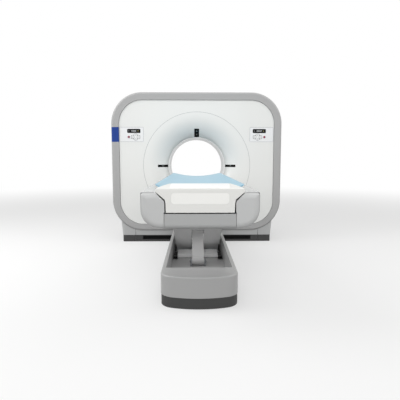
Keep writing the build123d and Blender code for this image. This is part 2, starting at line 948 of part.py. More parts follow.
def tie_rods():
    """Two rods beside the arm that keep the table level."""
    top = (top_pin[0], top_pin[1] + tie_offset)
    low = (low_pin[0], low_pin[1] + tie_offset)
    face = eye_plate(top, low, tie_rod_height * 0.8, tie_rod_height / 2)
    face += Pos(*low) * Circle(tie_rod_height * 0.8)
    face -= Pos(*top) * Circle(tie_pin_radius + running_fit)
    face -= Pos(*low) * Circle(tie_pin_radius + open_fit)
    return Compound(children=paired_plates(face, tie_rod_x - tie_rod_width / 2, tie_rod_width))


def lift_carriage():
    """Block on the tracks, a tongue to the arm's low pin and a lug for the tie rods."""
    front = low_pin[0] - carriage_front
    back = front + carriage_block
    half = carriage_half_width
    inner = half - carriage_wall
    tongue = link_half_width
    rear = low_pin[0] + eye_radius + tongue_past_eye
    block = slab(-half, half, front, back, carriage_low, carriage_top)
    block -= slab(-inner, inner, front + carriage_wall, back - carriage_wall, carriage_low - 1,
                  carriage_top - carriage_roof)
    body = block + slab(-tongue, tongue, back - carriage_wall, rear, carriage_low + tongue_rise,
                        floor_pin_z + tongue_over_pin)
    tie = (low_pin[0], low_pin[1] + tie_offset)
    lug = eye_plate(tie, low_pin, tie_rod_height * 0.8, arm_drop)
    body += joined(paired_plates(lug, tongue - ear_thickness, ear_thickness))
    body += pin(*low_pin, pin_radius, -track_x - track_width / 2, track_x + track_width / 2)
    body += pin(*tie, tie_pin_radius, -tie_rod_x - tie_rod_width, tie_rod_x + tie_rod_width)
    rod = Plane((0, rear - 1, floor_pin_z), x_dir=(1, 0, 0), z_dir=(0, 1, 0))
    return body + extrude(rod * Circle(rod_radius), amount=rod_length)


def carriage_glides():
    """Plastic blocks between the carriage and its tracks."""
    top = tray_plate + track_height + seat
    x0 = carriage_half_width + seat
    x1 = track_x + track_width / 2 + glide_overlap
    front = low_pin[0] - carriage_front
    blocks = []
    for y in (front + glide_inset, front + carriage_block - glide_length - glide_inset):
        blocks += both_sides(slab(x0, x1, y, y + glide_length, top, top + glide_height))
    inner = arm_low_half_width + side_play + 1
    block = slab(inner, x1, low_pin[0] - pin_glide_half, low_pin[0] + pin_glide_half, top,
                 low_pin[1] + arm_drop)
    for part in both_sides(block):
        blocks.append(part - pin(*low_pin, pin_radius + running_fit, -x1 - 1, x1 + 1))
    return Compound(children=blocks)


def tray_plan(inset):
    """The tray's outline from above, with its bowed front."""
    half = tray_half_width - inset
    front = tray_front_y + inset
    arc = tray_front_arc - inset
    corner_y = front + arc - sqrt(arc ** 2 - half ** 2)
    edges = [ThreePointArc((-half, corner_y), (0, front), (half, corner_y)),
             Line((half, corner_y), (half, tray_rear_y)),
             Line((half, tray_rear_y), (-half, tray_rear_y)),
             Line((-half, tray_rear_y), (-half, corner_y))]
    face = make_face(Curve() + edges)
    front_corners = face.vertices().sort_by(Axis.Y)[0:2]
    return fillet(front_corners, tray_corner - inset)


def tray_shell():
    """Moulded tray: rim, outer walls, the long well and its floor."""
    block = extrude(Pos(0, 0, skirt_top) * tray_plan(0), amount=tray_rim - skirt_top)
    rim = block.faces().sort_by(Axis.Z)[-1]
    edges = rim.edges().filter_by(lambda edge: edge.center().Y < tray_rear_y - 1)
    block = fillet(edges, tray_edge)
    inner = tray_plan(tray_wall) & Pos(0, (tray_rear_y + tray_front_y) / 2 - tray_wall) * Rectangle(
        2 * tray_half_width, tray_rear_y - tray_front_y)
    block -= extrude(Pos(0, 0, skirt_top - 1) * inner, amount=tray_rim - tray_wall - skirt_top + 1)
    x = well_half_width
    well = slab(-x, x, well_front_y, well_rear_y, skirt_top - 1, tray_rim + 1)
    wall = tray_wall
    pan_low = well_floor - pan_thickness
    liner = slab(-x - wall, x + wall, well_front_y - wall, well_rear_y + wall, pan_low, tray_rim - wall)
    liner -= slab(-x, x, well_front_y, well_rear_y, pan_low - 1, tray_rim + 1)
    pan = slab(-x, x, well_front_y, pan_rear_y, pan_low, well_floor)
    ear_half = eye_radius + ear_base + side_play
    ear_x = link_half_width + side_play
    for slot in both_sides(slab(ear_x - side_play, ear_x + ear_thickness + side_play, floor_pin_y - ear_half,
                                floor_pin_y + ear_half, 0, well_floor + 1)):
        pan -= slot
    notch = slab(carriage_half_width - side_play, x, notch_front_y, pan_rear_y + 1, 0, well_floor + 1)
    for cut in both_sides(notch):
        pan -= cut
    return (block - well) + liner + pan


def tray_skirt():
    """Dark base of the tray, which also meets the gantry's kick plate."""
    skirt_rear = -plinth_half_depth - skirt_gap
    outer = extrude(tray_plan(skirt_step), amount=skirt_top)
    half = tray_half_width - skirt_step
    outer += slab(-half, half, tray_rear_y, skirt_rear, 0, skirt_top)
    inner = extrude(tray_plan(skirt_step + tray_wall), amount=skirt_top)
    reach = tray_half_width - skirt_step - tray_wall
    inner += slab(-reach, reach, tray_rear_y - 20, skirt_rear - tray_wall, 0, skirt_top)
    return outer - inner


def tray_floor():
    """Steel plate bolted to the floor, with the floor pin's clevis and the cylinder's bracket."""
    half = tray_half_width - skirt_step - tray_wall - seat
    front = tray_anchor_front_y - tray_anchor_edge
    rear = -plinth_half_depth - skirt_gap - tray_wall - seat
    plate = slab(-half, half, front, rear, 0, tray_plate)
    for x in (-tray_anchor_x, tray_anchor_x):
        for y in (tray_anchor_front_y, tray_anchor_rear_y):
            plate -= Pos(x, y, 0) * Cylinder(anchor_radius, tray_plate * 4)
    start = (floor_pin_y, floor_pin_z)
    ear = eye_plate(start, (floor_pin_y, tray_plate - 2), eye_radius, eye_radius + ear_base)
    ear &= Pos(floor_pin_y, floor_pin_z + tray_plate - 2) * Rectangle(4 * eye_radius, 2 * floor_pin_z)
    floor = joined([plate] + paired_plates(ear, link_half_width + side_play, ear_thickness))
    reach = link_half_width + side_play + ear_thickness
    floor += pin(*start, pin_radius, -reach, reach)
    bracket_y = cylinder_front_y + bracket_back
    bracket_x = cylinder_radius + cylinder_bracket_wall
    bracket = slab(-bracket_x, bracket_x, bracket_y, bracket_y + cylinder_bracket, tray_plate, floor_pin_z)
    post = Plane((0, 0, floor_pin_z), x_dir=(1, 0, 0), z_dir=(0, 1, 0))
    seat_hole = extrude(post * Circle(cylinder_radius + seat), amount=tray_length, both=True)
    floor += bracket - seat_hole
    rear_support = pan_support(carriage_half_width - side_play, pan_rear_y - support_inset - support_width)
    front_support = pan_support(well_half_width - support_inset, well_front_y + 3 * support_width)
    return floor + rear_support + front_support


def pan_support(half, start):
    """A bar that holds the tray's floor up."""
    return slab(-half, half, start, start + support_width, tray_plate, well_floor - pan_thickness)


def carriage_tracks():
    """Two steel tracks for the carriage, on the floor plate."""
    x0 = track_x - track_width / 2
    track = slab(x0, x0 + track_width, notch_front_y + side_play, well_rear_y - track_end, tray_plate,
                 tray_plate + track_height)
    return Compound(children=both_sides(track))


def lift_cylinder():
    """Screw actuator: outer tube round the push rod, gearbox and motor."""
    axis = Plane((0, cylinder_front_y, floor_pin_z), x_dir=(1, 0, 0), z_dir=(0, 1, 0))
    length = cylinder_rear_y - cylinder_front_y
    tube = extrude(axis * Circle(cylinder_radius), amount=length)
    tube -= extrude(axis * Circle(rod_radius + open_fit), amount=length)
    low = floor_pin_z - cylinder_radius
    box = slab(-cylinder_radius, cylinder_radius + 2 * motor_radius, cylinder_rear_y,
               cylinder_rear_y + gearbox_length, low, low + gearbox_height)
    motor_x = cylinder_radius + motor_radius
    motor_place = (motor_x, cylinder_rear_y - motor_length, low + motor_radius)
    motor = Plane(motor_place, x_dir=(1, 0, 0), z_dir=(0, 1, 0))
    return tube + box + extrude(motor * Circle(motor_radius), amount=motor_length)


def body_face():
    """Half of the table body's end outline, from the seam outwards."""
    inner_x = foot_seam_x + foot_seam
    outer = [(inner_x, body_bottom), (body_half_width, body_bottom), (body_half_width, body_top)]
    inner = [(channel_top_half_width, body_top), (channel_half_width + channel_lip, channel_knee),
             (channel_half_width, channel_knee - channel_neck), (channel_half_width, channel_low),
             (inner_x, channel_low)]
    face = make_face(Polyline(*outer, *inner, close=True))
    outside = face.vertices().filter_by(lambda v: abs(v.X - body_half_width) < 0.1)
    face = fillet(outside.filter_by(lambda v: abs(v.Y - body_bottom) < 0.1), body_corner)
    outside = face.vertices().filter_by(lambda v: abs(v.X - body_half_width) < 0.1)
    shoulder = outside.filter_by(lambda v: abs(v.Y - body_top) < 0.1)
    return fillet(shoulder, body_shoulder_round)


def body_hollow():
    """What is taken out of the side cover: the same outline, one wall smaller."""
    wall = body_wall
    inner_x = foot_seam_x - 20
    outer = [(inner_x, body_bottom + wall), (body_half_width - wall, body_bottom + wall),
             (body_half_width - wall, body_top - wall)]
    knee = channel_knee - side_play
    inner = [(channel_top_half_width + wall, body_top - wall),
             (channel_half_width + channel_lip + wall, knee),
             (channel_half_width + wall, knee - channel_neck),
             (channel_half_width + wall, channel_low),
             (inner_x, channel_low)]
    face = make_face(Polyline(*outer, *inner, close=True))
    corner = face.vertices().filter_by(
        lambda v: abs(v.X - body_half_width + wall) < 0.1 and abs(v.Y - body_bottom - wall) < 0.1)
    return fillet(corner, body_corner - wall)


def side_cover():
    """Right side cover of the table, with rounded ends."""
    block = upright(body_face(), body_foot_y, body_head_y)
    ends = [block.faces().sort_by(Axis.Y)[0], block.faces().sort_by(Axis.Y)[-1]]
    edges = []
    for end in ends:
        edges += end.edges().filter_by(lambda e: e.center().X > body_half_width - body_corner)
    rounded = fillet(outer_edges(edges), body_end_round)
    end_wall = body_wall + body_end_round / 3
    return rounded - upright(body_hollow(), body_foot_y + end_wall, body_head_y - end_wall)


def outer_edges(edges):
    """The edges on the outer side and its round lower corner."""
    wanted = []
    for edge in edges:
        middle = edge.center()
        on_side = abs(middle.X - body_half_width) < 1
        on_corner = middle.Z < body_bottom + body_corner and middle.X > body_half_width - body_corner + 5
        if on_side or on_corner:
            wanted.append(edge)
    return wanted


def foot_panel():
    """Middle of the foot end, turned under the table along its lower edge."""
    wall = body_wall
    x = foot_seam_x
    block = slab(-x, x, body_foot_y, body_foot_y + foot_panel_run, body_bottom, foot_panel_top)
    lower = block.edges().filter_by(Axis.X).sort_by(Axis.Z)[0:2].sort_by(Axis.Y)[0]
    block = fillet(lower, foot_round)
    room = slab(-x - 1, x + 1, body_foot_y + wall, body_foot_y + foot_panel_run + 1, body_bottom + wall,
                foot_panel_top + 1)
    inner = room.edges().filter_by(Axis.X).sort_by(Axis.Z)[0:2].sort_by(Axis.Y)[0]
    return block - fillet(inner, foot_round - wall)


def belly_pan():
    """Flat pan under the table with a way through for the lift."""
    x = foot_seam_x
    start = body_foot_y + foot_panel_run + seat
    pan = slab(-x, x, start, body_head_y, body_bottom, body_bottom + body_wall)
    pan += slab(-x, x, body_head_y - body_wall, body_head_y, body_bottom, foot_panel_top)
    hole = lug_x + lug_thickness / 2 + belly_hole_play
    return pan - slab(-hole, hole, floor_pin_y - belly_hole_front, floor_pin_y + belly_hole_rear,
                      body_bottom - 1, body_bottom + body_wall + 1)


def table_frame():
    """Two long beams, cross members, the lift's lugs and the covers' brackets."""
    x0 = rib_half_width - rib_width / 2
    x1 = rib_half_width + rib_width / 2
    pieces = both_sides(slab(x0, x1, rib_foot_y, rib_head_y, rib_low, rib_high))
    for y in (rib_foot_y, floor_pin_y - cross_front, floor_pin_y + cross_rear, rib_head_y - cross_width):
        pieces.append(slab(-x1, x1, y, y + cross_width, rib_low, rib_high))
    side_low = rib_high - bracket_plate
    side_x = channel_half_width + bracket_reach
    post_x = channel_half_width - bracket_play
    for y in (rib_foot_y + bracket_inset, floor_pin_y, rib_head_y - bracket_length - bracket_inset):
        pieces += both_sides(slab(x1 - 1, side_x, y, y + bracket_length, side_low, rib_high))
        pieces += both_sides(slab(post_x, side_x, y, y + bracket_length, side_low, channel_low - seat))
    lug = eye_plate(top_pin, (top_pin[0], rib_high - hanger_depth), lug_radius, lug_radius)
    pieces += paired_plates(lug, lug_x - lug_thickness / 2, lug_thickness)
    tie = (top_pin[0], top_pin[1] + tie_offset)
    lug_head = (tie[0], rib_high - hanger_depth / 2)
    tie_lug = eye_plate(tie, lug_head, tie_rod_height * 0.8, tie_rod_height * 0.8)
    tie_x = tie_rod_x - tie_rod_width / 2 - side_play - ear_thickness
    pieces += paired_plates(tie_lug, tie_x, ear_thickness)
    hanger = slab(-x0, x0, floor_pin_y - hanger_width / 2, floor_pin_y + hanger_width / 2,
                  rib_high - hanger_depth, rib_high)
    bar_low = rib_low + rib_height / 2 - hanger_depth / 2
    foot_bar = slab(-x0, x0, body_foot_y + body_wall + seat, rib_foot_y + 1, bar_low, bar_low + hanger_depth)
    skid = []
    for y in (body_foot_y + foot_panel_run + skid_inset, rib_head_y - skid_inset - skid_length):
        skid += both_sides(slab(x0, x1, y, y + skid_length, body_bottom + body_wall + seat, rib_low + 1))
    frame = joined(pieces + [hanger, foot_bar] + skid)
    outer_x = lug_x + lug_notch / 2 + ear_thickness + side_play
    inner_x = lug_x - lug_notch / 2 - ear_thickness - side_play
    for part in both_sides(pin(*top_pin, pin_radius, inner_x, outer_x)):
        frame += part
    for part in both_sides(pin(*tie, tie_pin_radius, tie_x, tie_rod_x + tie_rod_width / 2 + 2 * side_play)):
        frame += part
    fork_x = roller_half_length + side_play
    fork = both_sides(slab(fork_x, fork_x + fork_thickness, roller_y - fork_half, roller_y + fork_half,
                           rib_high - 1, cradle_low - roller_radius + roller_axle))
    cross = slab(-x0 - 1, x0 + 1, roller_y - 2 * fork_half, roller_y + fork_half,
                 rib_high - hanger_depth, rib_high)
    frame = joined([frame, cross] + fork)
    return frame - pin(roller_y, cradle_low - seat - roller_radius, roller_axle + running_fit, -x0, x0)


def cradle_rails():
    x0 = rib_half_width - rail_width / 2
    rail = slab(x0, x0 + rail_width, rib_foot_y + rail_end, rib_head_y - rail_end,
                rib_high, rib_high + rail_height)
    return Compound(children=both_sides(rail))


def support_roller():
    """Roller at the head end that carries the cradle's middle."""
    centre = (roller_y, cradle_low - seat - roller_radius)
    reach = roller_half_length + side_play + fork_thickness + pin_end
    tyre = pin(*centre, roller_radius, -roller_half_length, roller_half_length)
    return tyre + pin(*centre, roller_axle, -reach, reach)


def dished_face(half, low_mid, low_edge, high_edge, high_mid):
    """A dished section, given by its middle and edge heights."""
    bottom = ThreePointArc((-half, low_edge), (0, low_mid), (half, low_edge))
    top = ThreePointArc((half, high_edge), (0, high_mid), (-half, high_edge))
    sides = [Line((half, low_edge), (half, high_edge)), Line((-half, high_edge), (-half, low_edge))]
    return make_face(Curve() + [bottom, sides[0], top, sides[1]])


def cradle_shell():
    """Dished carbon-fibre top of the table."""
    face = dished_face(cradle_half_width, cradle_low, cradle_edge_low, cradle_edge_high, cradle_dish)
    return upright(face, cap_front_y + cap_back, cradle_head_y)


def mattress():
    """Thin pad in the cradle's dish, which reaches a little past its edges."""
    rise = (cradle_edge_high - cradle_dish) * (mattress_half_width / cradle_half_width) ** 2
    low_edge = cradle_dish + rise + 2 * mattress_fit
    face = dished_face(mattress_half_width, cradle_dish + mattress_fit, low_edge + 1,
                       mattress_edge, mattress_dish)
    start = cap_front_y + cap_depth + 2 * seat
    length = cradle_head_y - start
    width = 2 * mattress_half_width
    plan = RectangleRounded(width + 2 * seat, length + 2 * seat, mattress_corner + seat)
    corners = extrude(Pos(0, start + length / 2, cradle_low - seat) * plan, amount=mattress_edge)
    return upright(face, start, cradle_head_y) & corners


def cap_face():
    """Outline of the cradle's foot cap."""
    neck = channel_half_width - cap_side_gap
    brim = cradle_half_width + cap_brim
    half = [(neck, cap_low), (neck + side_play, channel_knee - channel_neck),
            (neck + 3 * side_play, channel_knee + cap_brim), (brim - side_play, body_top + 1),
            (brim, cradle_edge_low + side_play), (brim - cap_side_gap, cradle_edge_high + side_play),
            (cradle_half_width - cap_shoulder, cap_top)]
    other = [(-x, z) for x, z in reversed(half)]
    face = make_face(Polyline(*half, *other, close=True))
    upper = face.vertices().filter_by(lambda v: cradle_edge_low < v.Y < cap_top - 1)
    return fillet(upper, cap_corner)


def inset_face(gap):
    width = 2 * (inset_half_width + gap)
    height = inset_high - inset_low + 2 * gap
    return Pos(0, (inset_high + inset_low) / 2) * RectangleRounded(width, height, inset_corner + gap)


def end_cap():
    """Moulded cap that hides the cradle's foot end."""
    block = upright(cap_face(), cap_front_y, cap_front_y + cap_depth)
    back = cap_front_y + cap_depth
    side = Polyline((cap_front_y, cap_low - 1), (cap_front_y, cap_top - cap_slope), (back, cap_top),
                    (back, cap_low - 1), close=True)
    block &= across(make_face(side), -body_half_width, body_half_width)
    front = block.faces().sort_by(Axis.Y)[0]
    block = fillet(front.edges().filter_by(Axis.X).sort_by(Axis.Z)[-1], cap_round)
    block -= upright(inset_face(inset_fit), cap_front_y - 1, cap_front_y + inset_thickness)
    room = dished_face(cradle_half_width + seat, cradle_low - seat, cradle_edge_low - seat,
                       cradle_edge_high + seat, cradle_dish + seat)
    return block - upright(room, cap_front_y + cap_back - seat, cap_front_y + cap_depth + 1)


def cap_inset():
    return upright(inset_face(0), cap_front_y, cap_front_y + inset_thickness)


def cradle_slider():
    """Guide under the cradle's foot end that runs on the two rails."""
    low = rib_high + rail_height + seat
    x = slider_half_width
    stop = slider_front_y + slider_length
    plate = slab(-x, x, slider_front_y, stop, low, low + slider_plate)
    x0 = slider_rib_x - slider_rib / 2
    ribs = both_sides(slab(x0, x0 + slider_rib, slider_front_y, stop, low, cradle_dish))
    slider = joined([plate] + ribs)
    above = 2 * cradle_edge_high - cradle_low
    room = dished_face(cradle_half_width, cradle_low - seat, cradle_edge_low, above, above + 1)
    return slider - upright(room, slider_front_y - 1, stop + 1)


def handed(right, left_name, right_name):
    """The two mirrored pieces under their own names."""
    left = mirror(right, about=Plane.YZ)
    return {left_name: left, right_name: right}


def all_parts():
    """Every piece of the machine under its own name."""
    parts = {}
    base_middle, base_side = split_base(base_cover(), gantry_top)
    plinth_middle, plinth_side = plinth_pieces()
    wall = plain_funnel()
    liner = bore_liner()
    parts["base_frame"] = base_frame()
    parts["plinth_front"] = plinth_middle
    parts["plinth_sides"] = Compound(children=both_sides(plinth_side))
    parts["vent_grille"] = vent_grille()
    parts["base_cover_front"] = base_middle
    parts["base_cover_sides"] = Compound(children=both_sides(base_side))
    parts["front_bezel"] = front_bezel()
    parts["label_band"] = label_band()
    parts["rear_bezel"] = mirror(plain_bezel(), about=Plane.XZ)
    parts.update(handed(wrap_cover(), "wrap_cover_left", "wrap_cover_right"))
    parts["front_cover"] = front_cover()
    parts["rear_cover"] = mirror(plain_cover(), about=Plane.XZ)
    parts["front_funnel"] = front_funnel(wall)
    parts["rear_funnel"] = mirror(wall, about=Plane.XZ)
    parts["laser_windows"] = Compound(children=side_windows(wall) + [top_window(wall)])
    parts["bore_liner_front"] = liner
    parts["scan_window"] = scan_window()
    parts["bore_liner_rear"] = mirror(liner, about=Plane.XZ)
    parts.update(handed(control_panel(), "control_panel_left", "control_panel_right"))
    parts["panel_displays"] = Compound(children=both_sides(display()))
    parts.update(handed(stop_button(), "stop_button_left", "stop_button_right"))
    parts.update(handed(rocker_key(), "height_rocker_left", "height_rocker_right"))
    parts.update(handed(side_key(1), "key_left_outer", "key_right_outer"))
    parts.update(handed(side_key(-1), "key_left_inner", "key_right_inner"))
    parts["stator_frame"] = stator_frame()
    parts["main_bearing"] = bearing_ring()
    parts["drive_motor_ring"] = motor_stator()
    parts["rotor_drum"] = rotor_drum()
    parts["xray_tube"] = xray_tube()
    parts["detector_arc"] = detector_arc()
    parts["power_units"] = generators()
    parts["slip_ring"] = slip_ring()
    parts["tray_shell"] = tray_shell()
    parts["tray_skirt"] = tray_skirt()
    parts["tray_floor"] = tray_floor()
    parts["carriage_tracks"] = carriage_tracks()
    parts["lift_cylinder"] = lift_cylinder()
    parts["short_link"] = short_link()
    parts["main_arm"] = main_arm()
    parts["tie_rods"] = tie_rods()
    parts["lift_carriage"] = lift_carriage()
    parts["carriage_glides"] = carriage_glides()
    parts["table_frame"] = table_frame()
    parts.update(handed(side_cover(), "side_cover_left", "side_cover_right"))
    parts["foot_panel"] = foot_panel()
    parts["belly_pan"] = belly_pan()
    parts["cradle_rails"] = cradle_rails()
    parts["support_roller"] = support_roller()
    parts["cradle_shell"] = cradle_shell()
    parts["mattress"] = mattress()
    parts["end_cap"] = end_cap()
    parts["cap_inset"] = cap_inset()
    parts["cradle_slider"] = cradle_slider()
    return parts


os.makedirs("parts", exist_ok=True)
for name, shape in all_parts().items():
    export_step(shape, f"parts/{name}.step")
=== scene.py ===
"""The looks of a medical scanner and its patient table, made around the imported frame."""

import json
import logging
import math
from dataclasses import dataclass, field
from enum import Enum
from typing import Iterable, Mapping, Optional, Sequence

import bmesh
import bpy
from mathutils import Matrix, Vector
from mathutils.bvhtree import BVHTree


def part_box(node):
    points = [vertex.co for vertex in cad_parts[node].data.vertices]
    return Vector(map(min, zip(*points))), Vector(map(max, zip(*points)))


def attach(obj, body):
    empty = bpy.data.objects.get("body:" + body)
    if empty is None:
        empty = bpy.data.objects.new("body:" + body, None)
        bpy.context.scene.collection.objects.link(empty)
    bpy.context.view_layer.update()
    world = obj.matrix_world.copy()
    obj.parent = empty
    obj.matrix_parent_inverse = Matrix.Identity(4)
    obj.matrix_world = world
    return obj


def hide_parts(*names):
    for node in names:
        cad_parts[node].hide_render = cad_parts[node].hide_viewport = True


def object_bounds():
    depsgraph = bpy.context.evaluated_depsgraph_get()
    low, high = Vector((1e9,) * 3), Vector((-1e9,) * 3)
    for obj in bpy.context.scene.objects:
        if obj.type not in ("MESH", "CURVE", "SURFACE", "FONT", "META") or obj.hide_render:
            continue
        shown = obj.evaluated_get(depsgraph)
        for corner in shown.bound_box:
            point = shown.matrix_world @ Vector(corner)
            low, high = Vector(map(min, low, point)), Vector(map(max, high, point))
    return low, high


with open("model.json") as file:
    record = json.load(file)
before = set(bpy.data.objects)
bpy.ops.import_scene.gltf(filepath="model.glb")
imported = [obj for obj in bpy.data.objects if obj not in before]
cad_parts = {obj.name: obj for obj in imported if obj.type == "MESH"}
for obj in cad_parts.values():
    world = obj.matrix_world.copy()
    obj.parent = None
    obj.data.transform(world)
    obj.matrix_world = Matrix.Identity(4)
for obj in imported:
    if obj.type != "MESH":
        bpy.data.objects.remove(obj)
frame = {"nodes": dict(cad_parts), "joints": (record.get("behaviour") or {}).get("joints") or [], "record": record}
CAD_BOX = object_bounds()
MM = 0.001
WHITE = (1.0, 1.0, 1.0, 1.0)
LOG = logging.getLogger("scanner")

Colour = tuple[float, float, float, float]
Point = tuple[float, float]
Draft = bmesh.types.BMesh
Tree = bpy.types.NodeTree
Socket = bpy.types.NodeSocket
Object = bpy.types.Object

# The CAD body that stands still on the floor
FIXED = "gantry_and_tray"


class Side(Enum):
    """A side of the machine seen from the table's foot, by the sign of its X."""

    LEFT = -1
    RIGHT = 1


class Relief(Enum):
    """How a surface's fine relief runs."""

    EVEN = (1.0, 1.0, 1.0)
    ALONG_Y = (1.0, 0.03, 1.0)


def linear(colour: str) -> Colour:
    """Turns an sRGB hex colour to linear light.

    Args:
        colour: the colour as "#rrggbb".

    Returns:
        Red, green, blue and an alpha of one.
    """
    channels = [int(colour[i:i + 2], 16) / 255 for i in (1, 3, 5)]
    light = [c / 12.92 if c <= 0.04045 else ((c + 0.055) / 1.055) ** 2.4 for c in channels]
    return (light[0], light[1], light[2], 1.0)


def add_node(tree: Tree, kind: str, inputs: Optional[Mapping] = None, **settings) -> bpy.types.Node:
    """Adds one node with its settings, values and links.

    Args:
        tree: the node tree that takes the node.
        kind: the node's type, without the ShaderNode at its start.
        inputs: a value or another node's output socket for each input, by its name or number.
        settings: properties of the node itself.

    Returns:
        The new node.
    """
    node = tree.nodes.new(f"ShaderNode{kind}")
    for name, value in settings.items():
        setattr(node, name, value)
    for key, value in (inputs or {}).items():
        if isinstance(value, Socket):
            tree.links.new(value, node.inputs[key])
        else:
            node.inputs[key].default_value = value
    return node


@dataclass(frozen=True)
class Finish:
    """One surface of the machine, as its maker would call it.

    The fine relief is a noise of the given spacing, and the colour drifts a little in lightness
    over a long distance, as paint and mouldings do.
    """

    name: str
    colour: str
    roughness: float
    relief_mm: float = 3.0
    relief_depth_mm: float = 0.02
    relief: Relief = Relief.EVEN
    metallic: float = 0.0
    ior: float = 1.5
    specular: float = 0.5
    coat: float = 0.0
    coat_roughness: float = 0.12
    sheen: float = 0.0
    anisotropy: float = 0.0
    drift: float = 0.012
    drift_mm: float = 420.0
    roughness_swing: float = 0.04

    def material(self) -> bpy.types.Material:
        """Builds the material once, and gives the same one each time."""
        made = bpy.data.materials.get(self.name)
        if made is None:
            made = bpy.data.materials.new(self.name)
            made.use_nodes = True
            self.fill(made.node_tree)
        return made

    def fill(self, tree: Tree) -> None:
        """Fills the material's tree with its shader, colour and relief."""
        tree.nodes.clear()
        place = add_node(tree, "TexCoord").outputs["Object"]
        shader = add_node(tree, "BsdfPrincipled", {
            "Metallic": self.metallic, "Coat Weight": self.coat, "Coat Roughness": self.coat_roughness,
            "Sheen Weight": self.sheen, "Anisotropic": self.anisotropy, "Specular IOR Level": self.specular})
        if not self.metallic:
            shader.inputs["IOR"].default_value = self.ior
        tree.links.new(self.colour_socket(tree, place), shader.inputs["Base Color"])
        tree.links.new(self.roughness_socket(tree, place), shader.inputs["Roughness"])
        tree.links.new(self.relief_socket(tree, place), shader.inputs["Normal"])
        add_node(tree, "OutputMaterial", {"Surface": shader.outputs["BSDF"]})

    def shade(self, factor: float) -> Colour:
        """The finish's colour made lighter or darker by a factor."""
        red, green, blue, alpha = linear(self.colour)
        return (min(red * factor, 1.0), min(green * factor, 1.0), min(blue * factor, 1.0), alpha)

    def between(self, tree: Tree, factor: Socket, swing: float) -> Socket:
        """The colour, darker by a swing where the factor is zero and lighter by it where it is one."""
        mix = add_node(tree, "Mix", {
            "Factor": factor, "A": self.shade(1 - swing), "B": self.shade(1 + swing)}, data_type="RGBA")
        return mix.outputs["Result"]

    def colour_socket(self, tree: Tree, place: Socket) -> Socket:
        """The colour with its slow drift in lightness."""
        cloud = add_node(tree, "TexNoise", {
            "Vector": place, "Scale": 1 / (self.drift_mm * MM), "Detail": 1.0, "Roughness": 0.4})
        return self.between(tree, cloud.outputs["Fac"], self.drift)

    def roughness_socket(self, tree: Tree, place: Socket) -> Socket:
        """The roughness, which swings a little from place to place."""
        cloud = add_node(tree, "TexNoise", {
            "Vector": place, "Scale": 6 / (self.drift_mm * MM), "Detail": 2.0})
        span = add_node(tree, "MapRange", {
            "Value": cloud.outputs["Fac"], "To Min": max(self.roughness - self.roughness_swing, 0.02),
            "To Max": self.roughness + self.roughness_swing})
        return span.outputs["Result"]

    def relief_socket(self, tree: Tree, place: Socket) -> Socket:
        """The normal with the surface's fine relief."""
        stretched = add_node(tree, "Mapping", {"Vector": place, "Scale": self.relief.value})
        noise = add_node(tree, "TexNoise", {
            "Vector": stretched.outputs["Vector"], "Scale": 1 / (self.relief_mm * MM), "Detail": 2.0})
        bump = add_node(tree, "Bump", {
            "Height": noise.outputs["Fac"], "Distance": self.relief_depth_mm * MM, "Strength": 1.0})
        return bump.outputs["Normal"]


@dataclass(frozen=True)
class LaminateFinish(Finish):
    """Carbon-fibre twill under clear resin: diagonal bands of lighter and darker tow."""

    tow_mm: float = 6.0
    contrast: float = 0.55

    def colour_socket(self, tree: Tree, place: Socket) -> Socket:
        """The twill: bands that run across a diagonal, drawn coarser than the real 2 mm tow to show."""
        slant = (0.0, 0.0, math.radians(45))
        slanted = add_node(tree, "Mapping", {"Vector": place, "Rotation": slant})
        bands = add_node(tree, "TexWave", {
            "Vector": slanted.outputs["Vector"], "Scale": 1 / (self.tow_mm * MM * 3.2), "Distortion": 0.3})
        return self.between(tree, bands.outputs["Fac"], self.contrast)


@dataclass(frozen=True)
class CoatedFabric(Finish):
    """Polyurethane-coated knit of a hospital pad: a soft pebble grain and a faint weave."""

    weave_mm: float = 5.0
    weave_depth_mm: float = 0.10

    def relief_socket(self, tree: Tree, place: Socket) -> Socket:
        """The knit's fine cells over the pad's slow waves, drawn coarser than the real 1 mm knit to show."""
        cells = add_node(tree, "TexVoronoi", {"Vector": place, "Scale": 1 / (self.weave_mm * MM)})
        fine = add_node(tree, "Bump", {
            "Height": cells.outputs["Distance"], "Distance": self.weave_depth_mm * MM, "Strength": 0.6})
        waves = add_node(tree, "TexNoise", {
            "Vector": place, "Scale": 1 / (self.relief_mm * MM), "Detail": 1.0})
        bump = add_node(tree, "Bump", {
            "Height": waves.outputs["Fac"], "Distance": self.relief_depth_mm * MM,
            "Normal": fine.outputs["Normal"]})
        return bump.outputs["Normal"]


@dataclass(frozen=True)
class LampFinish(Finish):
    """A lit segment or lamp behind a dark glass."""

    glow: float = 0.9

    def fill(self, tree: Tree) -> None:
        """Adds the glow to the plain finish."""
        super().fill(tree)
        shader = next(n for n in tree.nodes if n.type == "BSDF_PRINCIPLED")
        shader.inputs["Emission Color"].default_value = linear(self.colour)
        shader.inputs["Emission Strength"].default_value = self.glow


# Painted structural foam of the gantry's shells: satin white with a faint orange peel
SHELL_WHITE = Finish("painted_shell_white", "#e2e3e1", 0.34, 9.0, 0.035, coat=0.45, coat_roughness=0.12)
# Silver-grey satin paint of the bezels, without metal flake: an even, calm grey
BEZEL_GREY = Finish("satin_paint_bezel_grey", "#a6a6a6", 0.42, 7.0, 0.03, coat=0.12, coat_roughness=0.3)
# Printed vinyl film laid into the bezel: saturated blue with little shine
FILM_BLUE = Finish("vinyl_film_blue", "#29448c", 0.42, 14.0, 0.02, specular=0.15, drift=0.05)
# Tinted acrylic of the laser windows: nearly black and glossy
ACRYLIC_BLACK = Finish("tinted_acrylic_black", "#070708", 0.12, 30.0, 0.004, ior=1.49, specular=0.12,
                       roughness_swing=0.02)
# Frosted polyester film of the scan window: milky and matt
FILM_FROSTED = Finish("frosted_polyester", "#dfe3e3", 0.55, 2.0, 0.01)
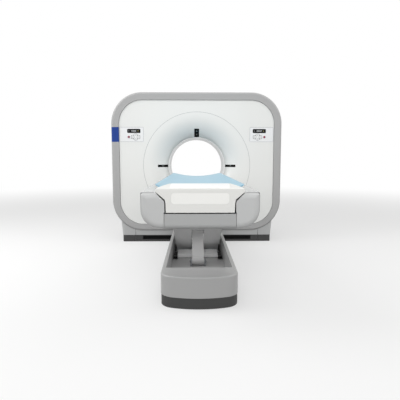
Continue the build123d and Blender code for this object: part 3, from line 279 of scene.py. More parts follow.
# Textured polycarbonate membrane of the panels: a little whiter than the shell
MEMBRANE_WHITE = Finish("polycarbonate_membrane", "#e6e7e8", 0.45, 1.2, 0.015)
# Smoked glass of the displays
GLASS_SMOKED = Finish("smoked_display_glass", "#111213", 0.1, 40.0, 0.003, specular=0.2)
# Moulded acetal of the stop buttons: deep red and slightly waxy
ACETAL_RED = Finish("moulded_acetal_red", "#7c1737", 0.30, 4.0, 0.01, coat=0.2)
# Silicone keypad caps: nearly white and soft to the eye
SILICONE_GREY = Finish("silicone_key_grey", "#e6e7e7", 0.55, 1.5, 0.02, sheen=0.1)
# Screen-printed ink on the membrane
INK_GREY = Finish("screen_ink_grey", "#343637", 0.6, 2.0, 0.004)
# Paler printed ink of the panel's border
INK_PALE = Finish("screen_ink_pale", "#a0a2a2", 0.6, 2.0, 0.004)
# Silicone lip seal in the funnels' seams: grey and matt
SEAL_GREY = Finish("silicone_seal_grey", "#a6a9a9", 0.65, 3.0, 0.01, specular=0.3)
# Black strips in the base covers' empty seams: painted shade, black and matt
SEAM_SHADE_BLACK = Finish("seam_painted_shade", "#1d1d1e", 0.7, 2.0, 0.02, specular=0.2)
# Spark-eroded ABS of the plinth and the tray's skirt: dark and matt with a fine grain
ABS_DARK = Finish("textured_abs_dark", "#434343", 0.58, 2.2, 0.05, specular=0.3, drift=0.03)
# The vent's moulded grille
ABS_BLACK = Finish("textured_abs_black", "#1a1a1a", 0.6, 2.2, 0.05, specular=0.2)
# Grey powder coat on welded steel
POWDER_COAT = Finish("powder_coat_grey", "#7d8083", 0.5, 2.6, 0.07, coat=0.1, drift=0.03)
# Ground bearing steel with its grinding marks round the bore's axis
GROUND_STEEL = Finish("ground_bearing_steel", "#a6a7a9", 0.28, 1.6, 0.012, Relief.ALONG_Y, metallic=1.0,
                      anisotropy=0.4)
# Lacquered lamination stack of the drive motor
LAMINATED_IRON = Finish("lacquered_laminated_iron", "#3c3d40", 0.45, 1.4, 0.05, Relief.ALONG_Y, metallic=0.6)
# Machined aluminium of the rotor
MACHINED_ALLOY = Finish("machined_aluminium", "#a3a5a7", 0.42, 2.0, 0.012, Relief.ALONG_Y, metallic=1.0,
                        anisotropy=0.3)
# Powder-coated cases of the power units
CASE_GREY = Finish("power_case_grey", "#5b5f64", 0.48, 2.6, 0.06)
# Turned brass tracks of the slip ring
TURNED_BRASS = Finish("turned_brass", "#c79d57", 0.25, 1.2, 0.01, Relief.ALONG_Y, metallic=1.0,
                      anisotropy=0.4)
# Moulded, painted tray: mid grey and satin
TRAY_GREY = Finish("satin_tray_grey", "#a3a3a3", 0.42, 5.0, 0.03, coat=0.35, coat_roughness=0.2, drift=0.02)
# Painted steel of the lift's arm: the tray's grey made much lighter, as painted light that stands in for the light
# the table's shade keeps off it
ARM_LIT_GREY = Finish("arm_grey_painted_light", "#d9d9d9", 0.40, 4.0, 0.03, coat=0.15, coat_roughness=0.25)
# Painted steel of the short link, near the tray's grey and darker than the arm, whose paint carries painted light
LINK_GREY = Finish("satin_paint_link_grey", "#a8a8a8", 0.40, 4.0, 0.03, coat=0.15, coat_roughness=0.25)
# Oil-filled nylon of the glides
NYLON_BLACK = Finish("oiled_nylon_black", "#161616", 0.4, 2.0, 0.02)
# Painted moulding of the table's body
BODY_GREY = Finish("satin_moulding_body_grey", "#bdbebe", 0.33, 8.0, 0.03, coat=0.7, coat_roughness=0.1)
# The body's moulding made a shade darker at the foot panel and belly: painted shade
PANEL_SHADED_GREY = Finish("body_moulding_painted_shade", "#a9aaaa", 0.36, 8.0, 0.03, coat=0.15, coat_roughness=0.22)
# White moulding of the gantry's base, painted greyer than the shells above it: painted shade for the shade that
# falls on it near the floor
BASE_SHADED_GREY = Finish("base_white_painted_shade", "#b4b5b5", 0.38, 8.0, 0.03, coat=0.15, coat_roughness=0.22)
# Polyurethane tyre of the support roller
TYRE_BLACK = Finish("polyurethane_tyre", "#1c1c1d", 0.5, 1.5, 0.02)
# Twill laminate of the cradle
CARBON_TWILL = LaminateFinish("carbon_twill_laminate", "#2a2b2e", 0.24, 12.0, 0.01, coat=0.7,
                              coat_roughness=0.08)
# Coated knit of the pad: light blue with a soft sheen
PAD_BLUE = CoatedFabric("coated_knit_pale_blue", "#8bb7cb", 0.52, 70.0, 0.3, coat=0.04, coat_roughness=0.35,
                        sheen=0.15, drift=0.02, drift_mm=300.0)
# The welt's coated tape, a shade deeper than the pad
WELT_BLUE = CoatedFabric("coated_tape_blue", "#89b1ca", 0.5, 20.0, 0.1)
# Painted moulding of the cradle's cap: warm white
CAP_WHITE = Finish("painted_cap_white", "#e3e3e0", 0.32, 9.0, 0.03, coat=0.25, coat_roughness=0.2)
# Soft white foam skin of the pad on the cap's top
PAD_WHITE = Finish("soft_white_skin", "#eff0f0", 0.5, 3.0, 0.02, sheen=0.1)
# Soft-touch inset of the cap: cream
INSET_CREAM = Finish("soft_touch_cream", "#f3f3f0", 0.55, 3.0, 0.02, sheen=0.1)
# Zinc-plated screws
ZINC_PLATE = Finish("zinc_plated_steel", "#b4b6b8", 0.3, 1.0, 0.01, metallic=1.0)
# Burnished pins of the linkage
BURNISHED_STEEL = Finish("burnished_pin_steel", "#6d6e70", 0.35, 1.0, 0.02, metallic=1.0)
# Lit parts of the displays
SEGMENT_WHITE = LampFinish("lit_segment_white", "#c4c8c9", 0.4, 4.0, 0.002, glow=0.5)
LAMP_AMBER = LampFinish("lit_lamp_amber", "#96905a", 0.4, 4.0, 0.002, glow=0.15)
# Coated glass of the laser lenses: a paler, clear spot in the black acrylic
LENS_GREY = Finish("coated_lens_glass", "#6f7775", 0.1, 20.0, 0.002, coat=0.8, coat_roughness=0.03)

SLOT_FINISHES: dict[str, Finish] = {
    "white_shell": SHELL_WHITE, "bezel_grey": BEZEL_GREY, "label_blue": FILM_BLUE,
    "window_black": ACRYLIC_BLACK, "scan_film": FILM_FROSTED, "panel_white": MEMBRANE_WHITE,
    "display_black": GLASS_SMOKED, "stop_red": ACETAL_RED, "key_grey": SILICONE_GREY,
    "plinth_dark": ABS_DARK, "vent_black": ABS_BLACK, "frame_steel": POWDER_COAT,
    "bearing_steel": GROUND_STEEL, "motor_iron": LAMINATED_IRON, "rotor_alloy": MACHINED_ALLOY,
    "power_case": CASE_GREY, "slip_brass": TURNED_BRASS, "tray_grey": TRAY_GREY,
    "lift_steel": ARM_LIT_GREY, "link_steel": LINK_GREY, "glide_black": NYLON_BLACK,
    "body_grey": BODY_GREY, "roller_rubber": TYRE_BLACK, "carbon_black": CARBON_TWILL,
    "slider_alloy": MACHINED_ALLOY, "mattress_blue": PAD_BLUE, "cap_white": CAP_WHITE,
    "inset_cream": INSET_CREAM,
}
# The foot panel, belly and base covers take painted shade in place of their slot's finish
NODE_FINISHES: dict[str, Finish] = {
    "foot_panel": PANEL_SHADED_GREY, "belly_pan": PANEL_SHADED_GREY,
    "base_cover_front": BASE_SHADED_GREY, "base_cover_sides": BASE_SHADED_GREY,
}


def dress_nodes() -> None:
    """Gives every carried-over CAD node the finish of its material slot, or one of its own."""
    for part in frame["record"]["subparts"]:
        name = part["node"]
        finish = NODE_FINISHES.get(name, SLOT_FINISHES[part["material_slot"]])
        data = frame["nodes"][name].data
        data.materials.clear()
        data.materials.append(finish.material())
        LOG.info("dressed %s in %s", name, finish.name)


def linked(name: str, data: bpy.types.ID) -> Object:
    """Makes an object of some data and puts it into the scene."""
    made = bpy.data.objects.new(name, data)
    bpy.context.scene.collection.objects.link(made)
    return made


def looking(name: str, data: bpy.types.ID, way: Vector, place: Sequence[float] = (0, 0, 0)) -> Object:
    """Puts a lamp or a camera into the scene, turned to look along a way."""
    made = linked(name, data)
    made.location = place
    made.rotation_mode = "QUATERNION"
    made.rotation_quaternion = way.to_track_quat("-Z", "Y")
    return made


def piece(name: str, bm: Draft, finish: Finish, body: str, smooth_deg: float = 35.0) -> Object:
    """Turns a finished bmesh into a piece of the machine.

    Args:
        name: the piece's name.
        bm: the mesh in its final place. It is freed here.
        finish: the piece's finish.
        body: the CAD body it rides on.
        smooth_deg: edges sharper than this stay sharp.

    Returns:
        The new object, at the origin.
    """
    bmesh.ops.remove_doubles(bm, verts=bm.verts, dist=1e-6)
    bmesh.ops.recalc_face_normals(bm, faces=bm.faces)
    mesh = bpy.data.meshes.new(name)
    bm.to_mesh(mesh)
    bm.free()
    mesh.shade_smooth()
    mesh.set_sharp_from_angle(angle=math.radians(smooth_deg))
    mesh.materials.append(finish.material())
    made = linked(name, mesh)
    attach(made, body)
    LOG.info("built %s with %d faces", name, len(mesh.polygons))
    return made


def round_edges(bm: Draft, edges: list[bmesh.types.BMEdge], round_by: float, segments: int) -> None:
    """Rounds edges by a radius, with a number of faces round each."""
    bmesh.ops.bevel(bm, geom=edges, offset=round_by, offset_type="OFFSET", segments=segments, profile=0.5,
                    affect="EDGES", material=-1, clamp_overlap=True)


def rounded_bar(bm: Draft, centre: Vector, size: Sequence[float], round_by: float) -> None:
    """Adds a box with a chamfer on all its edges.

    Args:
        bm: the mesh that takes it.
        centre: the box's middle.
        size: its three sides.
        round_by: the width of the chamfer.
    """
    made = bmesh.ops.create_cube(bm, size=1.0)
    bmesh.ops.scale(bm, vec=size, verts=made["verts"])
    bmesh.ops.translate(bm, vec=centre, verts=made["verts"])
    round_edges(bm, list({e for v in made["verts"] for e in v.link_edges}), round_by, 1)


def turned(bm: Draft, profile: Sequence[Point], place: Matrix, steps: int = 24) -> None:
    """Adds a shape turned about its own Z.

    Args:
        bm: the mesh that takes it.
        profile: radius and height of each point, from the axis outwards.
        place: moves the turned shape to its place.
        steps: how many faces go round.
    """
    before = set(bm.verts)
    points = [bm.verts.new((radius, 0.0, height)) for radius, height in profile]
    edges = [bm.edges.new(pair) for pair in zip(points, points[1:])]
    bmesh.ops.spin(bm, geom=points + edges, cent=(0, 0, 0), axis=(0, 0, 1), angle=math.tau,
                   steps=steps, use_merge=True)
    bmesh.ops.transform(bm, matrix=place, verts=[vert for vert in bm.verts if vert not in before])


def pushed(bm: Draft, faces: Iterable[bmesh.types.BMFace],
           shift: Sequence[float] = (0, 0, 0)) -> list[bmesh.types.BMVert]:
    """Gives flat faces a thickness, and returns the corners of the pushed side."""
    made = bmesh.ops.extrude_face_region(bm, geom=list(faces))
    corners = [g for g in made["geom"] if isinstance(g, bmesh.types.BMVert)]
    bmesh.ops.translate(bm, vec=shift, verts=corners)
    return corners


def rounded_corners(half_u: float, half_v: float, corner: float, steps: int) -> list[list[Point]]:
    """The points of a rounded rectangle about zero, as one list for each corner, anticlockwise.

    Args:
        half_u: half of its width.
        half_v: half of its height.
        corner: the radius of its corners.
        steps: how many edges go round each corner.
    """
    corners = []
    for quarter, (sign_u, sign_v) in enumerate(((1, 1), (-1, 1), (-1, -1), (1, -1))):
        points = []
        for step in range(steps + 1):
            angle = (quarter + step / steps) * math.pi / 2
            points.append((sign_u * (half_u - corner) + corner * math.cos(angle),
                           sign_v * (half_v - corner) + corner * math.sin(angle)))
        corners.append(points)
    return corners


def surface_of(node: str) -> BVHTree:
    """A CAD node's surface, ready for rays."""
    return BVHTree.FromObject(frame["nodes"][node], bpy.context.evaluated_depsgraph_get())


def facing(place: Vector, outward: Vector) -> Matrix:
    """A transform that puts local Z along outward at a place."""
    return Matrix.Translation(place) @ outward.to_track_quat("Z", "Y").to_matrix().to_4x4()


# Sections of small turned shapes from the axis outwards, as shares of their radius and height
BUTTON_HEAD = ((0.0, 0.35), (0.42, 0.35), (0.45, 1.0), (0.7, 1.0), (0.93, 0.6), (1.0, 0.0))
LENS_DOME = ((0.0, 1.0), (0.5, 0.85), (0.85, 0.45), (1.0, 0.0))
LAMP_DOME = ((0.0, 1.0), (0.8, 0.8), (1.0, 0.0))
PIN_HEAD = ((0.0, 1.0), (0.8, 1.0), (1.0, 0.8), (1.0, 0.0))
WASHER = ((0.96, 1.0), (1.0, 0.7), (1.0, 0.0))
# A button head's height as a share of its radius
BUTTON_RISE = 0.45


def section(shares: Sequence[Point], radius: float, height: float, base: float = 0.0) -> list[Point]:
    """A section at its real size, raised by its base."""
    return [(radius * out, base + height * up) for out, up in shares]


def double_row(half: float, first: float, last: float, count: int, height: float) -> list[Vector]:
    """Places in two rows along Y, one on either side of the middle."""
    along = [first + (last - first) * number / (count - 1) for number in range(count)]
    return [Vector((x, y, height)) for y in along for x in (-half, half)]


def screw_heads(name: str, places: Iterable[Vector], outward: Vector, radius: float, body: str) -> Object:
    """Builds a group of socket button screws.

    Args:
        name: the group's name.
        places: where each head sits on its surface.
        outward: the way the heads face.
        radius: a head's radius.
        body: the CAD body they ride on.

    Returns:
        The group as one piece.
    """
    bm = bmesh.new()
    for place in places:
        turned(bm, section(BUTTON_HEAD, radius, radius * BUTTON_RISE), facing(place, outward), steps=12)
    return piece(name, bm, ZINC_PLATE, body)


@dataclass
class Readout:
    """The lit part of a panel's display: plain digits, a lamp and a mark."""

    side: Side
    width: float = 0.163
    digit_width: float = 0.0105
    digit_height: float = 0.0150
    digit_pitch: float = 0.0160
    digits: int = 4
    stroke: float = 0.0024
    thickness: float = 0.0006
    lamp_offset: float = 0.052
    lamp_radius: float = 0.0052
    mark_offset: float = 0.060
    mark_length: float = 0.007

    def centre(self) -> Vector:
        """The middle of this side's display, on its front face."""
        low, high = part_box("panel_displays")
        x = high.x - self.width / 2
        return Vector((self.side.value * x, low.y - self.thickness / 4, (low.z + high.z) / 2))

    def bar(self, bm: Draft, middle: Vector, across: float, up: float) -> None:
        """Adds one flat stroke."""
        rounded_bar(bm, middle, (across, self.thickness, up), self.thickness * 0.3)

    def zero(self, bm: Draft, middle: Vector) -> None:
        """Adds a plain nought of six strokes about a middle."""
        half_w = self.digit_width / 2
        half_h = self.digit_height / 2
        gap = self.stroke * 0.2
        for z in (-half_h, half_h):
            self.bar(bm, middle + Vector((0, 0, z)), self.digit_width - self.stroke - gap, self.stroke)
        for x in (-half_w, half_w):
            for z in (-half_h / 2, half_h / 2):
                self.bar(bm, middle + Vector((x, 0, z)), self.stroke, half_h - self.stroke * 0.6 - gap)

    def build(self) -> None:
        """Builds the digits, the mark beside them and the amber lamp."""
        label = self.side.name.lower()
        bm = bmesh.new()
        centre = self.centre()
        start = -self.digit_pitch * (self.digits - 1) / 2
        for number in range(self.digits):
            self.zero(bm, centre + Vector((start + number * self.digit_pitch, 0, 0)))
        mark = centre - Vector((self.mark_offset, 0, 0))
        for across, up in ((self.mark_length, self.stroke), (self.stroke, self.mark_length)):
            self.bar(bm, mark, across, up)
        piece(f"readout_{label}", bm, SEGMENT_WHITE, FIXED)
        lamp = bmesh.new()
        place = centre + Vector((self.lamp_offset, 0, 0))
        dome = section(LAMP_DOME, self.lamp_radius, self.thickness)
        turned(lamp, dome, facing(place, Vector((0, -1, 0))), steps=16)
        piece(f"lamp_{label}", lamp, LAMP_AMBER, FIXED)


@dataclass
class KeyLegends:
    """Printed outlines round the keys and plain arrows on them."""

    side: Side
    line: float = 0.0032
    thickness: float = 0.0003
    clearance: float = 0.0016
    border_inset: float = 0.004
    rocker_corner: float = 0.017
    key_corner: float = 0.008
    border_corner: float = 0.010
    corner_steps: int = 6
    arrow: float = 0.0058
    arrow_lift: float = 0.32

    def outline(self, bm: Draft, node: str, corner: float, clearance: float) -> None:
        """Adds a thin printed line that stands off a node's outline by a clearance."""
        low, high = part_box(node)
        panel_low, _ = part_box(f"control_panel_{self.side.name.lower()}")
        middle = (low + high) / 2
        loops = []
        for grow in (0.0, self.line):
            wide = (high.x - low.x) / 2 + clearance + grow
            tall = (high.z - low.z) / 2 + clearance + grow
            corners = rounded_corners(wide, tall, min(corner + grow, wide, tall), self.corner_steps)
            verts = [bm.verts.new((middle.x + x, panel_low.y - self.thickness, middle.z + z))
                     for points in corners for x, z in points]
            loops += [bm.edges.new(pair) for pair in zip(verts, verts[1:] + verts[:1])]
        bmesh.ops.bridge_loops(bm, edges=loops)

    def printed(self, name: str, bm: Draft, finish: Finish) -> None:
        """Thickens flat rings to a film of ink and makes a piece of them."""
        pushed(bm, bm.faces, (0, self.thickness, 0))
        piece(name, bm, finish, FIXED)

    def arrow_on(self, name: str, node: str, turn_deg: float, offset: Vector) -> None:
        """Builds a small plain arrow on a key's face.

        Args:
            name: the arrow's name.
            node: the key's node and body.
            turn_deg: the arrow's turn to the left from pointing up.
            offset: its place from the key's middle.
        """
        low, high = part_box(node)
        middle = (low + high) / 2 + offset
        bm = bmesh.new()
        made = bmesh.ops.create_circle(bm, cap_ends=True, segments=3, radius=self.arrow)
        upright = Matrix.Rotation(math.radians(90), 4, "X")
        place = Matrix.Translation((middle.x, low.y - self.thickness / 2, middle.z))
        spin = Matrix.Rotation(math.radians(turn_deg), 4, "Z")
        bmesh.ops.transform(bm, matrix=place @ upright @ spin, verts=made["verts"])
        pushed(bm, bm.faces, (0, self.thickness, 0))
        piece(name, bm, INK_GREY, node)

    def build(self) -> None:
        """Builds this panel's outlines, its border and the arrows."""
        label = self.side.name.lower()
        bm = bmesh.new()
        self.outline(bm, f"height_rocker_{label}", self.rocker_corner, self.clearance)
        for key in ("inner", "outer"):
            self.outline(bm, f"key_{label}_{key}", self.key_corner, self.clearance)
        self.printed(f"key_outlines_{label}", bm, INK_GREY)
        border = bmesh.new()
        self.outline(border, f"control_panel_{label}", self.border_corner, -self.border_inset - self.line)
        self.printed(f"panel_border_{label}", border, INK_PALE)
        rocker = f"height_rocker_{label}"
        low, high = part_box(rocker)
        lift = Vector((0, 0, (high.z - low.z) * self.arrow_lift))
        self.arrow_on(f"arrow_up_{label}", rocker, 0, lift)
        self.arrow_on(f"arrow_down_{label}", rocker, 180, -lift)
        for key, turn in (("inner", 90), ("outer", -90)):
            self.arrow_on(f"arrow_{key}_{label}", f"key_{label}_{key}", turn * self.side.value, Vector())


@dataclass
class Gantry:
    """The gantry's own trim: readouts, legends, laser lenses, seals, painted-shade strips in the base seams and
    the rear cover's screws.
    """

    isocentre_z: float = 0.962
    seal_radii: Sequence[float] = (0.6638, 0.6677)
    seal_rise: float = 0.0004
    seal_depth: float = 0.0016
    seal_lip: float = 0.0006
    seal_steps: int = 160
    strip_width: float = 0.0027
    strip_gap: float = 0.003
    strip_depth: float = 0.004
    strip_sink: float = 0.0002
    strip_round: float = 0.0003
    lens_radius: float = 0.0085
    lens_rise: float = 0.0012
    lens_across: float = 0.427
    lens_up: Sequence[float] = (0.398, 0.434)
    screw_radius: float = 0.007
    screw_inset: float = 0.06
    screw_rows: Sequence[float] = (0.42, 0.78, 1.14, 1.50)

    def build(self) -> None:
        """Builds the trim on both sides."""
        for side in Side:
            Readout(side).build()
            KeyLegends(side).build()
        self.laser_lenses()
        self.seal("front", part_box("front_cover")[0].y, -1)
        self.seal("rear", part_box("rear_cover")[1].y, 1)
        self.seam_shade_strips()
        self.rear_screws()

    def seam_shade_strips(self) -> None:
        """Builds black strips in the upright seams at the front of the base covers, as painted shade in the gaps.
        """
        low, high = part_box("base_cover_front")
        bm = bmesh.new()
        size = (self.strip_width, self.strip_depth, high.z - low.z - 2 * self.strip_sink)
        for side in Side:
            x = side.value * (high.x + self.strip_gap / 2)
            middle = Vector((x, low.y + self.strip_sink + self.strip_depth / 2, (low.z + high.z) / 2))
            rounded_bar(bm, middle, size, self.strip_round)
        piece("base_seam_shade_strips", bm, SEAM_SHADE_BLACK, FIXED)

    def seal(self, label: str, y: float, way: int) -> None:
        """Builds the lip seal that closes the seam between a cover and its funnel.

        Args:
            label: front or rear.
            y: where the cover's face lies.
            way: the sign of Y that the cover faces.
        """
        inner, outer = self.seal_radii
        bm = bmesh.new()
        lip = self.seal_lip
        profile = [(inner, 0.0), (inner + lip, self.seal_rise), (outer - lip, self.seal_rise), (outer, 0.0),
                   ((inner + outer) / 2, -self.seal_depth), (inner, 0.0)]
        place = facing(Vector((0, y, self.isocentre_z)), Vector((0, way, 0)))
        turned(bm, profile, place, self.seal_steps)
        piece(f"{label}_seam_seal", bm, SEAL_GREY, FIXED)

    def laser_lenses(self) -> None:
        """Builds the lenses in the laser windows, square to their curved faces."""
        surface = surface_of("laser_windows")
        spots = [(side.value * self.lens_across, self.isocentre_z) for side in Side]
        spots += [(0.0, self.isocentre_z + up) for up in self.lens_up]
        bm = bmesh.new()
        dome = section(LENS_DOME, self.lens_radius, self.lens_rise)
        for x, z in spots:
            start = Vector((x, CAD_BOX[0][1], z))
            place, outward, _, _ = surface.ray_cast(start, Vector((0, 1, 0)))
            turned(bm, dome, facing(place, outward), steps=20)
        piece("laser_lenses", bm, LENS_GREY, FIXED)

    def rear_screws(self) -> None:
        """Builds the captive screws down both edges of the rear cover."""
        _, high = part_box("rear_cover")
        reach = high.x - self.screw_inset
        places = [Vector((x, high.y, z)) for x in (-reach, reach) for z in self.screw_rows]
        screw_heads("rear_cover_screws", places, Vector((0, 1, 0)), self.screw_radius, FIXED)


@dataclass
class Lift:
    """Pin ends of the linkage, with their washers."""

    washer_radius: float = 0.020
    washer: float = 0.0025
    head_radius: float = 0.011
    head: float = 0.004
    floor_pin_reach: float = 0.071

    def pin_end(self, bm: Draft, place: Vector, side: int) -> None:
        """Adds a washer with a low round head on a pin's end."""
        profile = section(PIN_HEAD, self.head_radius, self.head, self.washer)
        profile += section(WASHER, self.washer_radius, self.washer)
        turned(bm, profile, facing(place, Vector((side, 0, 0))))

    def pair(self, name: str, x: float, y: float, z: float, body: str, slot: str) -> None:
        """Builds both ends of a pin."""
        bm = bmesh.new()
        for side in (-1, 1):
            self.pin_end(bm, Vector((side * x, y, z)), side)
        piece(name, bm, BURNISHED_STEEL, body)

    def build(self) -> None:
        """Builds the ends of the floor pin and the middle pin."""
        joints = {joint["name"]: joint for joint in frame["joints"]}
        _, floor_y, floor_z = joints["table_lift"]["pos_m"]
        _, mid_y, mid_z = joints["arm_pivot"]["pos_m"]
        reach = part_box("short_link")[1].x
        self.pair("floor_pin_ends", self.floor_pin_reach, floor_y, floor_z, FIXED, "frame_steel")
        self.pair("middle_pin_ends", reach, mid_y, mid_z, "short_link", "link_steel")


@dataclass
class Tray:
    """Screws that hold the tray's floor down."""

    screw_radius: float = 0.006
    rows: int = 4
    pan_top: float = 0.050
    across: float = 0.230
    front_inset: float = 0.29
    rear_row: float = -1.56

    def build(self) -> None:
        """Builds the pan's screws along both of its long edges."""
        low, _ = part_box("tray_shell")
        front = low.y + self.front_inset
        places = double_row(self.across, front, self.rear_row, self.rows, self.pan_top)
        screw_heads("tray_pan_screws", places, Vector((0, 0, 1)), self.screw_radius, FIXED)


@dataclass
class TableBody:
    """Screws under the table's belly."""

    screw_radius: float = 0.005
    across: float = 0.2148
    end_gap: float = 0.06
    rows: int = 7

    def build(self) -> None:
        """Builds the belly pan's screws."""
        low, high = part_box("belly_pan")
        places = double_row(self.across, low.y + self.end_gap, high.y - self.end_gap, self.rows, low.z)
        screw_heads("belly_pan_screws", places, Vector((0, 0, -1)), self.screw_radius, "table")


@dataclass
class CapPad:
    """White soft pad let into the sloped top of the cradle's cap."""

    half_width: float = 0.186
    front_gap: float = 0.018
    rear_gap: float = 0.004
    rise: float = 0.0022
    sink: float = 0.0008
    corner: float = 0.012
    corner_steps: int = 6
    rim_share: float = 0.6

    def build(self) -> None:
        """Builds the pad as a thin rounded plate that follows the cap's slope."""
        low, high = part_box("end_cap")
        surface = surface_of("end_cap")
        front = low.y + self.front_gap
        rear = high.y - self.rear_gap
        above = CAD_BOX[1][2]
        heights = [surface.ray_cast(Vector((0.0, y, above)), Vector((0, 0, -1)))[0].z for y in (front, rear)]
        slope = (heights[1] - heights[0]) / (rear - front)
        corners = rounded_corners(self.half_width, (rear - front) / 2, self.corner, self.corner_steps)
        bm = bmesh.new()
        verts = []
        for x, along in (point for points in corners for point in points):
            y = (front + rear) / 2 + along
            verts.append(bm.verts.new((x, y, heights[0] + slope * (y - front) - self.sink)))
        top = pushed(bm, [bm.faces.new(verts)], (0, 0, self.rise + self.sink))
        rim = [e for e in bm.edges if all(v in top for v in e.verts)]
        round_edges(bm, rim, self.rise * self.rim_share, 3)
        piece("cap_top_pad", bm, PAD_WHITE, "cradle")


@dataclass
class Mattress:
    """Thin foam pad in a coated cover, laid in the cradle's dish, with a welt round its top."""

    columns: int = 40
    rows: int = 168
    corner: float = 0.045
    edge_round: float = 0.006
    pressure: float = 3.0
    frames: int = 16
    puff_limit: float = 0.004
    welt_radius: float = 0.0022
    welt_share: float = 0.35
    welt_steps: int = 10
    welt_crossing: int = 24
    low_fit: float = 0.0004
    middle_band: float = 0.02
    edge_band: float = 0.0005
    rim_deg: float = 50.0
    held_share: float = 1.5
    heights: dict = field(default_factory=dict)

    def measure(self) -> None:
        """Reads the CAD pad's section: the heights of its middle and of its edges, below and above."""
        low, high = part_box("mattress")
        mesh = frame["nodes"]["mattress"].data
        middle = [v.co.z for v in mesh.vertices if abs(v.co.x) < self.middle_band]
        edge = [v.co.z for v in mesh.vertices if v.co.x > high.x - self.edge_band]
        self.heights = {"low_mid": min(middle), "high_mid": max(middle), "low_edge": min(edge),
                        "high_edge": max(edge), "half": high.x, "front": low.y, "rear": high.y}

    def arc(self, x: float, face: str) -> float:
        """Height at x of the pad's low or high face, which is a round dish."""
        mid = self.heights[f"{face}_mid"]
        rise = self.heights[f"{face}_edge"] - mid
        radius = (self.heights["half"] ** 2 + rise ** 2) / (2 * rise)
        return mid + radius - math.sqrt(radius ** 2 - min(abs(x), self.heights["half"]) ** 2)

    def plan_point(self, u: float, v: float) -> Point:
        """Maps a square of -1 to 1 to the pad's plan, with its corners rounded."""
        h = self.heights
        half_x = h["half"]
        half_y = (h["rear"] - h["front"]) / 2
        mid_y = (h["rear"] + h["front"]) / 2
        x, y = u * half_x, v * half_y
        over_x = abs(x) - (half_x - self.corner)
        over_y = abs(y) - (half_y - self.corner)
        if over_x > 0 and over_y > 0:
            scale = max(over_x, over_y) / math.hypot(over_x, over_y)
            x = math.copysign(half_x - self.corner + over_x * scale, x)
            y = math.copysign(half_y - self.corner + over_y * scale, y)
        return x, mid_y + y

    def shell(self) -> Draft:
        """The closed pad: a grid for its under side, pushed up to its top, with a rounded rim."""
        bm = bmesh.new()
        made = bmesh.ops.create_grid(bm, x_segments=self.columns, y_segments=self.rows, size=1.0)
        for vert in made["verts"]:
            x, y = self.plan_point(vert.co.x, vert.co.y)
            vert.co = (x, y, self.arc(x, "low") + self.low_fit)
        for vert in pushed(bm, bm.faces):
            vert.co.z = self.arc(vert.co.x, "high")
        bmesh.ops.recalc_face_normals(bm, faces=bm.faces)
        rim = [e for e in bm.edges if len(e.link_faces) == 2
               and e.calc_face_angle() > math.radians(self.rim_deg)]
        round_edges(bm, rim, self.edge_round, 4)
        return bm

    def build(self) -> None:
        """Builds the pad, lets its cover swell and lays the welt round it."""
        self.measure()
        pad = piece("mattress_pad", self.shell(), PAD_BLUE, "cradle", smooth_deg=180.0)
        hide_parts("mattress")
        self.swell(pad)
        self.welt()

    def swell(self, pad: Object) -> None:
        """Lets the top swell under the foam's pressure while the underside stays in the dish."""
        held = pad.vertex_groups.new(name="held")
        rim = self.edge_round * self.held_share
        for vert in pad.data.vertices:
            floor = self.arc(vert.co.x, "low")
            near_side = abs(vert.co.x) > self.heights["half"] - rim
            near_end = min(vert.co.y - self.heights["front"], self.heights["rear"] - vert.co.y) < rim
            if vert.co.z < floor + rim or near_side or near_end:
                held.add([vert.index], 1.0, "REPLACE")
        cloth = pad.modifiers.new("swell", "CLOTH")
        cloth.settings.quality = 4
        cloth.settings.use_pressure = True
        cloth.settings.uniform_pressure_force = self.pressure
        cloth.settings.vertex_group_mass = held.name
        cloth.settings.effector_weights.gravity = 0.0
        cloth.collision_settings.use_collision = False
        scene = bpy.context.scene
        for step in range(1, self.frames + 1):
            scene.frame_set(step)
        settled = pad.evaluated_get(bpy.context.evaluated_depsgraph_get()).to_mesh()
        moved = [vert.co.copy() for vert in settled.vertices]
        pad.modifiers.remove(cloth)
        scene.frame_set(1)
        for vert, end in zip(pad.data.vertices, moved):
            shift = end - vert.co
            if shift.length > self.puff_limit:
                shift = shift.normalized() * self.puff_limit
            vert.co += shift
        pad.vertex_groups.clear()
        LOG.info("the pad's cover swelled")

    def welt(self) -> None:
        """Lays a thin round welt on the pad's upper edge, all the way round."""
        h = self.heights
        mid_y = (h["rear"] + h["front"]) / 2
        inset = self.edge_round * self.welt_share
        half_y = (h["rear"] - h["front"]) / 2
        corners = rounded_corners(h["half"] - inset, half_y - inset, self.corner - inset, self.welt_steps)
        points = []
        for quarter, corner in enumerate(corners):
            points += [(x, mid_y + y) for x, y in corner]
            if quarter in (0, 2):
                points += self.crossing(points[-1])
        curve = bpy.data.curves.new("mattress_welt", "CURVE")
        curve.dimensions = "3D"
        curve.bevel_depth = self.welt_radius
        curve.bevel_resolution = 3
        line = curve.splines.new("POLY")
        line.points.add(len(points) - 1)
        for point, (x, y) in zip(line.points, points):
            point.co = (x, y, self.arc(x, "high") - inset, 1.0)
        line.use_cyclic_u = True
        shaped = linked("mattress_welt_line", curve)
        bpy.context.view_layer.update()
        mesh = bpy.data.meshes.new_from_object(shaped.evaluated_get(bpy.context.evaluated_depsgraph_get()))
        bpy.data.objects.remove(shaped)
        bm = bmesh.new()
        bm.from_mesh(mesh)
        piece("mattress_welt", bm, WELT_BLUE, "cradle", smooth_deg=60.0)

    def crossing(self, start: Point) -> list[Point]:
        """Points along an end of the pad, so that the welt follows the dish."""
        x, y = start
        return [(x - 2 * x * step / self.welt_crossing, y) for step in range(1, self.welt_crossing)]


